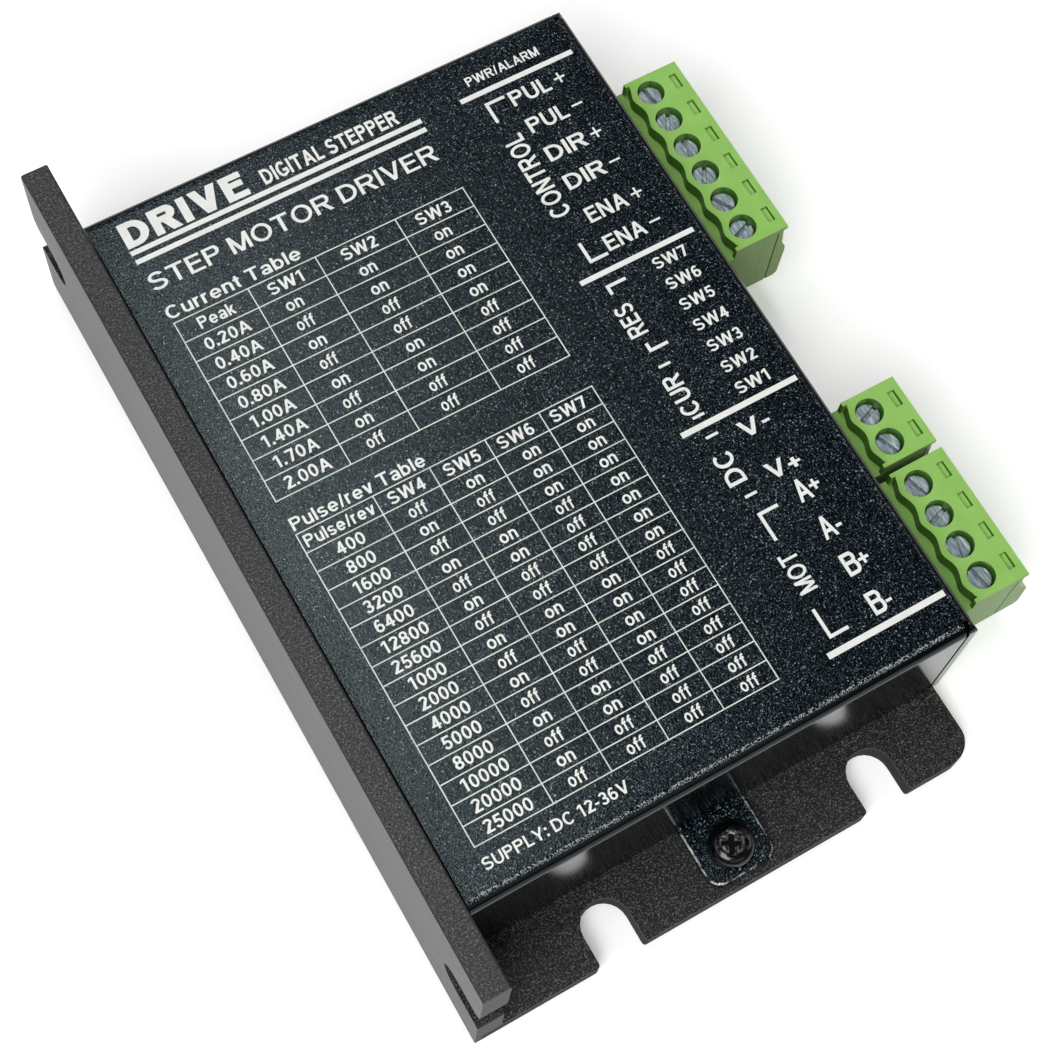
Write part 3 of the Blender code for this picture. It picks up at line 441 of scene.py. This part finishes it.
# the pins are moulded into the headers as one solid, so their faces get the tinned finish
PIN_Z = 9.85
for name in ("header_signal", "header_power", "header_motor"):
    ob = NODES[name]
    ob.data.materials.append(MATS["pins"])
    lo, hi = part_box(name)
    plug_lo, plug_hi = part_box(name.replace("header", "plug"))
    far = plug_hi.y / MM - 2.27
    ys = []
    y = far
    while y > plug_lo.y / MM + 2.0:
        ys.append(y)
        y -= 3.81
    for p in ob.data.polygons:
        c = p.center / MM
        if not any(abs(c.y - v) < 0.56 for v in ys):
            continue
        if c.x < 20.3 or (c.x > 22.35 and abs(c.z - PIN_Z) < 0.56 and c.x < 29.45):
            p.material_index = 1


# ---------------------------------------------------------------------------- printed lettering
TOP = 21.8            # the cover's upper surface
INK = 0.03            # how far the ink stands up
SUNK = 0.02
XH = 0.75             # height of the small letters, in capitals


def rect(x0, y0, x1, y1):
    return [(x0, y0), (x1, y0), (x1, y1), (x0, y1)]


def slant(x0, y0, x1, y1, h):
    """A stroke with level ends, from (x0, y0) below to (x1, y1) above."""
    return [(x0 - h, y0), (x0 + h, y0), (x1 + h, y1), (x1 - h, y1)]


def arc(cx, cy, rx, ry, a0, a1, w, v=None):
    """A band inside an ellipse, from a0 to a1 degrees, w wide at the sides and v at top and bottom."""
    v = w if v is None else v
    n = max(3, int(abs(a1 - a0) / 18.0))
    out, inn = [], []
    for i in range(n + 1):
        a = math.radians(a0 + (a1 - a0) * i / n)
        out.append((cx + rx * math.cos(a), cy + ry * math.sin(a)))
        inn.append((cx + (rx - w) * math.cos(a), cy + (ry - v) * math.sin(a)))
    return out + inn[::-1]


def glyph(ch, w):
    """Stroke outlines of one plain sans-serif character, capital height 1, stem width w; and its width."""
    v = w * 0.86
    h = w * 0.54
    if ch == "A":
        W = 0.92
        return [slant(h, 0, W / 2, 1, h), slant(W - h, 0, W / 2, 1, h), rect(W * 0.22, 0.25, W * 0.78, 0.25 + v)], W
    if ch in "BPR":
        W = 0.78 if ch != "R" else 0.84
        lo = 0.47 if ch == "B" else 0.43
        bx = W - 0.28
        out = [rect(0, 0, w, 1), rect(0, 1 - v, bx, 1), rect(0, lo, bx, lo + v), arc(bx, (1 + lo) / 2, 0.26, (1 - lo) / 2, -90, 90, w, v)]
        if ch == "B":
            out += [rect(0, 0, bx, v), arc(bx, (lo + v) / 2, 0.28, (lo + v) / 2, -90, 90, w, v)]
        elif ch == "R":
            out += [slant(W - h * 1.1, 0, W * 0.52, lo + v * 0.5, h * 1.1)]
        return out, W
    if ch in "CG":
        W = 0.88
        out = [arc(W / 2, 0.5, W / 2, 0.515, 42, 318, w, v)]
        if ch == "G":
            out = [arc(W / 2, 0.5, W / 2, 0.515, 42, 300, w, v), rect(W - w * 0.98, 0.13, W, 0.5), rect(W * 0.52, 0.5 - v, W, 0.5)]
            out.append([(W * 0.60, 0.02), (W, 0.17), (W - w * 0.98, 0.24), (W * 0.62, 0.02 + v)])
        return out, W
    if ch == "D":
        W = 0.84
        return [rect(0, 0, w, 1), rect(0, 0, 0.36, v), rect(0, 1 - v, 0.36, 1), arc(0.36, 0.5, W - 0.36, 0.5, -90, 90, w, v)], W
    if ch == "E":
        return [rect(0, 0, w, 1), rect(0, 0, 0.72, v), rect(0, 0.46, 0.66, 0.46 + v), rect(0, 1 - v, 0.70, 1)], 0.72
    if ch == "I":
        return [rect(0, 0, w, 1)], w
    if ch == "L":
        return [rect(0, 0, w, 1), rect(0, 0, 0.62, v)], 0.62
    if ch == "M":
        W = 0.96
        return [rect(0, 0, w, 1), rect(W - w, 0, W, 1), slant(W / 2, 0, h, 1, h), slant(W / 2, 0, W - h, 1, h)], W
    if ch == "N":
        W = 0.80
        return [rect(0, 0, w, 1), rect(W - w, 0, W, 1), slant(W - h, 0, h, 1, h)], W
    if ch == "O":
        W = 0.96
        return [arc(W / 2, 0.5, W / 2, 0.515, 0, 180, w, v), arc(W / 2, 0.5, W / 2, 0.515, 180, 360, w, v)], W
    if ch in "Ss":
        H, W = (1.0, 0.80) if ch == "S" else (XH, 0.64)
        v = v if ch == "S" else v * 0.92
        ry = (H / 2 + v / 2 + 0.01) / 2
        return [arc(W / 2, H + 0.01 - ry, W / 2 * 0.94, ry, 22, 270, w, v), arc(W / 2, ry - 0.01, W / 2, ry, -158, 90, w, v)], W
    if ch == "T":
        W = 0.80
        return [rect(0, 1 - v, W, 1), rect(W / 2 - w / 2, 0, W / 2 + w / 2, 1)], W
    if ch == "U":
        W, r = 0.80, 0.36
        return [rect(0, r, w, 1), rect(W - w, r, W, 1), arc(W / 2, r, W / 2, r + 0.01, 180, 360, w, v)], W
    if ch in "Vv":
        H, W = (1.0, 0.90) if ch == "V" else (XH, 0.66)
        return [slant(W / 2, 0, h, H, h), slant(W / 2, 0, W - h, H, h)], W
    if ch == "W":
        W = 1.28
        return [slant(W * 0.26, 0, h, 1, h), slant(W * 0.26, 0, W / 2, 1, h), slant(W * 0.74, 0, W / 2, 1, h), slant(W * 0.74, 0, W - h, 1, h)], W
    if ch == "Y":
        W = 0.88
        return [rect(W / 2 - w / 2, 0, W / 2 + w / 2, 0.44), slant(W / 2, 0.38, h, 1, h), slant(W / 2, 0.38, W - h, 1, h)], W
    if ch == "a":
        W = 0.65
        return [arc(W / 2 + 0.01, XH - 0.24, W / 2 - 0.01, 0.25, 0, 160, w, v), rect(W - w, 0, W, XH - 0.24),
                arc(W / 2 - 0.02, 0.215, W / 2 - 0.02, 0.225, 0, 180, w, v * 0.9), arc(W / 2 - 0.02, 0.215, W / 2 - 0.02, 0.225, 180, 360, w, v * 0.9)], W
    if ch == "b":
        W = 0.68
        return [rect(0, 0, w, 1), arc(W / 2, XH / 2, W / 2, XH / 2 + 0.01, 0, 180, w, v), arc(W / 2, XH / 2, W / 2, XH / 2 + 0.01, 180, 360, w, v)], W
    if ch == "e":
        W = 0.70
        return [arc(W / 2, XH / 2, W / 2, XH / 2 + 0.01, 0, 322, w, v), rect(w * 0.5, XH / 2 - v * 0.5, W - 0.005, XH / 2 + v * 0.4)], W
    if ch == "f":
        x = 0.11
        return [rect(x, 0, x + w, 0.74), rect(0, XH - v, 0.42, XH), arc(x + 0.26, 0.74, 0.26, 0.265, 90, 180, w, v), rect(x + 0.26, 1.005 - v, x + 0.34, 1.005)], 0.44
    if ch == "k":
        W = 0.64
        return [rect(0, 0, w, 1), slant(w * 0.8, 0.26, W - h * 1.15, XH, h * 1.15), slant(W - h * 1.1, 0, 0.27, 0.42, h * 1.1)], W
    if ch == "l":
        return [rect(0, 0, w, 1)], w
    if ch == "n":
        W = 0.64
        return [rect(0, 0, w, XH), arc(W / 2, XH - 0.26, W / 2, 0.27, 0, 168, w, v), rect(W - w, 0, W, XH - 0.26)], W
    if ch == "u":
        W = 0.64
        return [rect(W - w, 0, W, XH), arc(W / 2, 0.26, W / 2, 0.27, 180, 348, w, v), rect(0, 0.26, w, XH)], W
    if ch == "o":
        W = 0.72
        return [arc(W / 2, XH / 2, W / 2, XH / 2 + 0.01, 0, 180, w, v), arc(W / 2, XH / 2, W / 2, XH / 2 + 0.01, 180, 360, w, v)], W
    if ch == "r":
        return [rect(0, 0, w, XH), arc(0.29, XH - 0.28, 0.29, 0.29, 72, 165, w, v)], 0.40
    if ch == "t":
        x = 0.10
        return [rect(x, 0.18, x + w, 0.93), rect(0, XH - v, 0.37, XH), arc(x + 0.2, 0.18, 0.2, 0.19, 180, 278, w, v)], 0.37
    if ch == "0":
        W = 0.67
        return [arc(W / 2, 0.5, W / 2, 0.51, 0, 180, w, v), arc(W / 2, 0.5, W / 2, 0.51, 180, 360, w, v)], W
    if ch == "1":
        x = 0.24
        return [rect(x, 0, x + w, 1), [(0.02, 0.70), (x + w * 0.5, 0.86), (x + w * 0.5, 1.0), (x, 1.0), (0.02, 0.70 + v)]], x + w + 0.10
    if ch == "2":
        W, r = 0.66, 0.28
        return [arc(W / 2, 1.01 - r, W / 2, r, -22, 165, w, v), slant(h * 1.35, v * 0.6, W - h * 1.45, 0.66, h * 1.3), rect(0, 0, W, v)], W
    if ch == "3":
        W = 0.66
        ry = (0.5 + v / 2 + 0.01) / 2
        return [arc(W / 2 - 0.02, 1.01 - ry, W / 2 - 0.02, ry, -90, 160, w, v), arc(W / 2, ry - 0.01, W / 2, ry, -160, 90, w, v),
                rect(W * 0.36, 0.5 - v / 2, W * 0.5, 0.5 + v / 2)], W
    if ch == "4":
        W = 0.70
        return [rect(W - w - 0.12, 0, W - 0.12, 1), rect(0, 0.22, W, 0.22 + v), slant(h, 0.24, W - 0.12 - h, 1, h)], W
    if ch == "5":
        W, r = 0.66, 0.335
        return [arc(W / 2, r - 0.01, W / 2, r, -160, 138, w, v), rect(0.1, 1 - v, W - 0.04, 1),
                [(0.035, 0.46), (0.035 + w, 0.46), (0.10 + w, 1), (0.10, 1)]], W
    if ch in "69":
        W, r = 0.67, 0.325
        out = [arc(W / 2, r - 0.01, W / 2, r, 0, 180, w, v), arc(W / 2, r - 0.01, W / 2, r, 180, 360, w, v),
               arc(W / 2 + 0.005, 0.5, W / 2 + 0.005, 0.51, 52, 200, w, v)]
        if ch == "9":
            out = [[(W - x, 1 - y) for x, y in p] for p in out]
        return out, W
    if ch == "7":
        W = 0.66
        return [rect(0, 1 - v, W, 1), slant(0.18 + h, 0, W - h, 1 - v * 0.5, h)], W
    if ch == "8":
        W = 0.67
        ry = (0.5 + v / 2 + 0.01) / 2
        return [arc(W / 2, 1.01 - ry, W / 2 - 0.025, ry, 0, 180, w, v), arc(W / 2, 1.01 - ry, W / 2 - 0.025, ry, 180, 360, w, v),
                arc(W / 2, ry - 0.01, W / 2, ry, 0, 180, w, v), arc(W / 2, ry - 0.01, W / 2, ry, 180, 360, w, v)], W
    if ch == ".":
        return [rect(0, 0, w * 1.1, w * 1.1)], w * 1.1
    if ch == ":":
        return [rect(0, 0, w * 1.1, w * 1.1), rect(0, XH - w * 1.1, w * 1.1, XH)], w * 1.1
    if ch == "/":
        return [slant(h * 0.8, 0, 0.38 - h * 0.8, 1, h * 0.8)], 0.38
    if ch == "-":
        return [rect(0, 0.32, 0.36, 0.32 + v)], 0.36
    if ch == "+":
        return [rect(0, 0.36 - v / 2, 0.6, 0.36 + v / 2), rect(0.3 - w / 2, 0.06, 0.3 + w / 2, 0.66)], 0.6
    raise ValueError(ch)


GLYPHS = {}


def flat_glyph(ch, w):
    """The union of a character's strokes: points, triangles and outline edges."""
    key = (ch, round(w, 4))
    if key in GLYPHS:
        return GLYPHS[key]
    polys, W = glyph(ch, w)
    pts, faces = [], []
    for p in polys:
        area = sum(p[i][0] * p[(i + 1) % len(p)][1] - p[(i + 1) % len(p)][0] * p[i][1] for i in range(len(p)))
        if area < 0:
            p = p[::-1]
        faces.append(list(range(len(pts), len(pts) + len(p))))
        pts += [Vector(q) for q in p]
    vs, _, fs, _, _, of = delaunay_2d_cdt(pts, [], faces, 1, 2e-4)
    tris = [f for f, o in zip(fs, of) if len(o)]
    count = {}
    for f in tris:
        for i in range(len(f)):
            a, b = f[i], f[(i + 1) % len(f)]
            count[(a, b)] = 1
    rim = [(a, b) for a, b in count if (b, a) not in count]
    used = sorted({i for f in tris for i in f})
    at = {v: i for i, v in enumerate(used)}
    GLYPHS[key] = ([tuple(vs[i]) for i in used], [[at[i] for i in f] for f in tris], [(at[a], at[b]) for a, b in rim], W)
    return GLYPHS[key]


GAP = 0.125           # between characters, in capitals
SPACE = 0.33


class Print:
    """One mesh of separate closed ink islands on the cover's top."""

    def __init__(self, name, mat):
        self.name, self.mat = name, mat
        self.bm = bmesh.new()

    def island(self, pts):
        """A closed outline, counter-clockwise seen from above."""
        lo = [self.bm.verts.new((x, y, TOP - SUNK)) for x, y in pts]
        hi = [self.bm.verts.new((x, y, TOP + INK)) for x, y in pts]
        n = len(pts)
        self.bm.faces.new(list(reversed(lo)))
        self.bm.faces.new(hi)
        for i in range(n):
            j = (i + 1) % n
            self.bm.faces.new((lo[i], lo[j], hi[j], hi[i]))

    def bar(self, x0, x1, y, w):
        self.island([(x0, y - w / 2), (x1, y - w / 2), (x1, y + w / 2), (x0, y + w / 2)])

    def bracket(self, x, y, right, other, w=0.36):
        """An angle mark with its outer corner at (x, y)."""
        s = 1 if other < y else -1
        pts = [(x, y), (x, other), (x + w, other), (x + w, y - s * w), (right, y - s * w), (right, y)]
        self.island(pts if s > 0 else list(reversed(pts)))

    def grid(self, xs, ys, w):
        """A table's rules as one clean mesh."""
        def cuts(vals):
            out = []
            for v in sorted(vals):
                out += [v - w / 2, v + w / 2]
            return out
        cx, cy = cuts(xs), cuts(ys)
        nx, ny = len(cx) - 1, len(cy) - 1
        on = [[i % 2 == 0 or j % 2 == 0 for j in range(ny)] for i in range(nx)]
        verts = {}

        def v(i, j, top):
            key = (i, j, top)
            if key not in verts:
                verts[key] = self.bm.verts.new((cx[i], cy[j], TOP + INK * 0.6 if top else TOP - SUNK))
            return verts[key]
        for i in range(nx):
            for j in range(ny):
                if not on[i][j]:
                    continue
                self.bm.faces.new((v(i, j, 1), v(i + 1, j, 1), v(i + 1, j + 1, 1), v(i, j + 1, 1)))
                self.bm.faces.new((v(i, j, 0), v(i, j + 1, 0), v(i + 1, j + 1, 0), v(i + 1, j, 0)))
                for di, dj, a, b in ((0, -1, (i, j), (i + 1, j)), (1, 0, (i + 1, j), (i + 1, j + 1)),
                                     (0, 1, (i + 1, j + 1), (i, j + 1)), (-1, 0, (i, j + 1), (i, j))):
                    k, l = i + di, j + dj
                    if 0 <= k < nx and 0 <= l < ny and on[k][l]:
                        continue
                    self.bm.faces.new((v(*a, 0), v(*b, 0), v(*b, 1), v(*a, 1)))

    def text(self, s, x, y, cap, width=None, align="L", turn=False, w=0.15):
        """A string with its baseline at y and its left end (or middle) at x, in millimetres.
        turn: reads towards +Y, with x its baseline and y its lower end. w: stem width, in capitals."""
        at, put = 0.0, []
        for ch in s:
            if ch == " ":
                at += SPACE
                continue
            g = flat_glyph(ch, w)
            put.append((g, at))
            at += g[3] + GAP
        total = (at - GAP) * cap
        k = width / total if width else 1.0
        shift = -total * k / 2 if align == "C" else 0.0
        for (vs, tris, rim, _), gx in put:
            lo, hi = [], []
            for u, v in vs:
                a, b = (gx + u) * cap * k + shift, v * cap
                px, py = (x - b, y + a) if turn else (x + a, y + b)
                lo.append(self.bm.verts.new((px, py, TOP - SUNK)))
                hi.append(self.bm.verts.new((px, py, TOP + INK)))
            for f in tris:
                self.bm.faces.new([hi[i] for i in f])
                self.bm.faces.new([lo[i] for i in reversed(f)])
            for a, b in rim:
                self.bm.faces.new((lo[a], lo[b], hi[b], hi[a]))

    def done(self):
        for v in self.bm.verts:
            v.co *= MM
        me = bpy.data.meshes.new(self.name)
        self.bm.to_mesh(me)
        self.bm.free()
        me.materials.append(MATS[self.mat])
        ob = bpy.data.objects.new(self.name, me)
        bpy.context.scene.collection.objects.link(ob)
        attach(ob, "root")
        return ob


def title_print():
    p = Print("print_title", "ink")
    p.text("DRIVE", -23.8, 36.2, 3.05, 14.0, w=0.265)
    p.text("DIGITAL STEPPER", -8.0, 36.4, 1.85, 15.9, w=0.21)
    p.bar(-23.85, 9.98, 35.62, 0.56)
    p.bar(-23.8, 9.93, 34.48, 0.56)
    p.text("STEP MOTOR DRIVER", -23.7, 30.62, 2.05, 33.15, w=0.165)
    p.text("Current Table", -23.75, 27.02, 1.5, 15.1, w=0.18)
    p.text("Pulse/rev Table", -23.4, 0.72, 1.42, 14.75, w=0.18)
    p.text("SUPPLY: DC 12-36V", -23.6, -37.42, 1.22, 15.6, w=0.18)
    return p.done()


T1_X = (-23.52, -15.2, -7.5, 1.82, 9.84)
T1_Y0, T1_PITCH = 26.5, 2.462
T2_X = (-23.44, -14.97, -8.62, -2.33, 3.86, 10.06)
T2_Y0, T2_PITCH = 0.34, 2.206
CURRENT = [("0.20A", "on on on"), ("0.40A", "off on on"), ("0.60A", "on off on"), ("0.80A", "off off on"),
           ("1.00A", "on on off"), ("1.40A", "off on off"), ("1.70A", "on off off"), ("2.00A", "off off off")]
PULSES = [400, 800, 1600, 3200, 6400, 12800, 25600, 1000, 2000, 4000, 5000, 8000, 10000, 20000, 25000]


def onoff(v):
    return "on" if v else "off"


def table_print():
    p = Print("print_tables", "ink")

    def row(xs, y0, pitch, k, cells, cap, nudge, first=None):
        base = y0 - pitch * (k + 1) + (pitch - cap) / 2 + 0.02
        for i, s in enumerate(cells):
            cx = (xs[i] + xs[i + 1]) / 2
            if i == 0 and k and first:
                cx = first
            cx += nudge[k > 0][i]
            wide = {"on": 1.86, "off": 1.92}.get(s)
            if s.startswith("SW"):
                wide = 3.98
            elif s == "Pulse/rev":
                wide = 7.6
            elif s == "Peak":
                wide = 4.0
            p.text(s, cx, base, cap, wide, align="C", w=0.185)
    # the columns aren't quite centred in the rules: headings and values, column by column
    n1 = ((0, -0.12, -0.2, -0.15), (0, -0.5, -0.55, -0.45))
    n2 = ((0, 0, -0.08, -0.2, -0.3), (0, 0, 0.1, 0.27, 0.37))
    row(T1_X, T1_Y0, T1_PITCH, 0, ["Peak", "SW1", "SW2", "SW3"], 1.38, n1)
    for k, (a, states) in enumerate(CURRENT):
        row(T1_X, T1_Y0, T1_PITCH, k + 1, [a] + states.split(), 1.38, n1)
    row(T2_X, T2_Y0, T2_PITCH, 0, ["Pulse/rev", "SW4", "SW5", "SW6", "SW7"], 1.34, n2)
    sw5 = (1, 0, 0, 1, 1, 0, 0, 1, 1, 0, 0, 1, 1, 0, 0)
    for k, n in enumerate(PULSES):
        states = [k % 2 == 1, sw5[k], k < 3 or 7 <= k <= 10, k < 7]
        row(T2_X, T2_Y0, T2_PITCH, k + 1, [str(n)] + [onoff(v) for v in states], 1.33, n2)
    return p.done()


def rule_print():
    p = Print("print_rules", "ink_thin")
    p.grid(T1_X, [T1_Y0 - T1_PITCH * k for k in range(10)], 0.12)
    p.grid(T2_X, [T2_Y0 - T2_PITCH * k for k in range(17)], 0.12)
    return p.done()


def legend_print():
    p = Print("print_legends", "ink")
    p.text("PWR/ALARM", 16.45, 36.92, 1.12, 8.8, w=0.185)
    for x0, x1, y, w in ((14.75, 28.5, 35.64, 0.58), (14.95, 28.62, 10.85, 0.58), (15.15, 28.9, -8.75, 0.62),
                         (15.45, 29.08, -35.38, 0.66)):
        p.bar(x0, x1, y, w)
    for y, s in zip((33.42, 29.66, 25.73, 21.83, 17.4, 13.64), ("PUL", "PUL", "DIR", "DIR", "ENA", "ENA")):
        p.text(s, 19.6, y - 0.95, 1.85, 4.7, w=0.185)
    for y, s in zip((33.42, 29.66, 25.73, 21.83, 17.4, 13.64), "+-+-+-"):
        p.bar(24.95, 26.25, y, 0.22)
        if s == "+":
            p.island([(25.49, y + 0.11), (25.71, y + 0.11), (25.71, y + 0.65), (25.49, y + 0.65)])
            p.island([(25.49, y - 0.65), (25.71, y - 0.65), (25.71, y - 0.11), (25.49, y - 0.11)])
    p.bracket(16.85, 34.28, 19.2, 31.6)
    p.text("CONTROL", 18.5, 18.6, 2.2, 10.9, turn=True, w=0.185)
    p.bracket(17.05, 12.42, 19.3, 15.0)
    for k in range(7):
        p.text("SW%d" % (7 - k), 22.75, 8.52 - 2.695 * k, 1.32, 3.95, w=0.185)
    p.bracket(17.05, 9.42, 19.4, 8.25)
    p.text("RES", 18.35, 2.85, 2.05, 3.9, turn=True, w=0.185)
    p.bracket(17.2, 0.72, 19.45, 1.8)
    p.bar(17.1, 18.45, -1.16, 0.3)
    p.text("CUR", 18.5, -7.25, 2.0, 4.8, turn=True, w=0.185)
    p.bar(17.15, 18.5, -7.66, 0.3)
    p.bar(17.2, 18.6, -10.14, 0.3)
    p.text("V-", 20.6, -12.05, 1.8, 3.4, w=0.185)
    p.text("DC", 18.55, -15.9, 2.1, 3.9, turn=True, w=0.185)
    p.bar(17.25, 18.6, -17.45, 0.3)
    p.text("V+", 20.6, -17.2, 1.8, 3.7, w=0.185)
    p.bracket(17.33, -19.48, 19.68, -22.8)
    p.text("MOT", 18.5, -28.9, 1.95, 4.5, turn=True, w=0.185)
    p.bracket(16.6, -33.95, 18.87, -30.6)
    for s, y in (("A", -20.68), ("A", -25.2), ("B", -29.6), ("B", -34.17)):
        p.text(s, 21.9, y, 2.45, 1.55, w=0.185)
    for y, s in ((-19.5, "+"), (-24.35, "-"), (-28.45, "+"), (-33.35, "-")):
        if s == "+":
            p.bar(23.5, 24.65, y, 0.3)
            p.island([(23.93, y + 0.15), (24.22, y + 0.15), (24.22, y + 0.58), (23.93, y + 0.58)])
            p.island([(23.93, y - 0.58), (24.22, y - 0.58), (24.22, y - 0.15), (23.93, y - 0.15)])
        else:
            p.bar(23.55, 24.2, y, 0.3)
    return p.done()


title_print()
table_print()
rule_print()
legend_print()


# ------------------------------------------------------------------------------ floor and light
def floor():
    bm = bmesh.new()
    n, r = 96, 6.0
    ring = [bm.verts.new((r * math.cos(2 * math.pi * i / n), r * math.sin(2 * math.pi * i / n), 0)) for i in range(n)]
    mid = bm.verts.new((0, 0, 0))
    for i in range(n):
        bm.faces.new((ring[i], ring[(i + 1) % n], mid))
    me = bpy.data.meshes.new("floor")
    bm.to_mesh(me)
    bm.free()
    m = Mat("pale_floor")
    mottle = m.noise(30, 2.0, 0.5)
    m.set(Base_Color=m.ramp(mottle, [(0.3, (0.88, 0.88, 0.875)), (0.7, (0.92, 0.92, 0.915))]), Roughness=0.75)
    m.b.inputs["Emission Color"].default_value = (1.0, 1.0, 1.0, 1.0)
    m.b.inputs["Emission Strength"].default_value = 0.27
    me.materials.append(m.m)
    ob = bpy.data.objects.new("floor", me)
    ob.location = (0, 0, -0.00005)
    bpy.context.scene.collection.objects.link(ob)


floor()


def area(name, loc, target, size, power, colour=(1, 1, 1)):
    d = bpy.data.lights.new(name, "AREA")
    d.shape = "RECTANGLE"
    d.size, d.size_y = size
    d.energy = power
    d.color = colour
    ob = bpy.data.objects.new(name, d)
    ob.location = loc
    ob.rotation_euler = (Vector(target) - Vector(loc)).to_track_quat("-Z", "Y").to_euler()
    bpy.context.scene.collection.objects.link(ob)
    return ob


area("key", (0.04, 0.24, 0.85), (-0.02, 0, 0), (0.12, 0.5), 1.85)
area("top", (-0.48, -0.36, 0.80), (0, 0, 0), (0.5, 0.5), 7.6)
area("front", (-0.1, -1.0, 0.6), (0, 0, 0), (1.0, 0.5), 1.0)
area("left", (-1.0, 0.1, 0.6), (0, 0, 0), (0.6, 0.9), 1.7)
area("right", (0.95, -0.25, 0.6), (0, 0, 0), (0.6, 0.6), 1.9)

world = bpy.data.worlds.new("studio")
bpy.context.scene.world = world
world.use_nodes = True
bg = world.node_tree.nodes["Background"]
bg.inputs["Color"].default_value = (1.0, 1.0, 1.0, 1.0)
# the room is dim, so the black stays black, but it shows as a pale backdrop beyond the floor
path = world.node_tree.nodes.new("ShaderNodeLightPath")
span = world.node_tree.nodes.new("ShaderNodeMapRange")
span.inputs["To Min"].default_value = 0.08
span.inputs["To Max"].default_value = 0.92
world.node_tree.links.new(path.outputs["Is Camera Ray"], span.inputs["Value"])
world.node_tree.links.new(span.outputs[0], bg.inputs["Strength"])

# ---------------------------------------------------------------------------------------- camera
cam_data = bpy.data.cameras.new("camera")
cam = bpy.data.objects.new("camera", cam_data)
bpy.context.scene.collection.objects.link(cam)
rows = ((0.865026, 0.444539, -0.232628), (-0.498807, 0.811924, -0.303269), (0.054062, 0.378372, 0.924074))
cam.matrix_world = Matrix.Translation((-0.051784, -0.072172, 0.218472)) @ Matrix(rows).to_4x4()
cam_data.sensor_width = 36.0
cam_data.lens = 73.817
cam_data.shift_x = 0.0027
cam_data.shift_y = -0.0221
cam_data.clip_start, cam_data.clip_end = 0.005, 50.0
cam_data.dof.use_dof = False
bpy.context.scene.camera = cam

scene = bpy.context.scene
scene.view_settings.view_transform = "Standard"
scene.view_settings.look = "None"
scene.view_settings.exposure = 0.0
scene.view_settings.gamma = 1.0
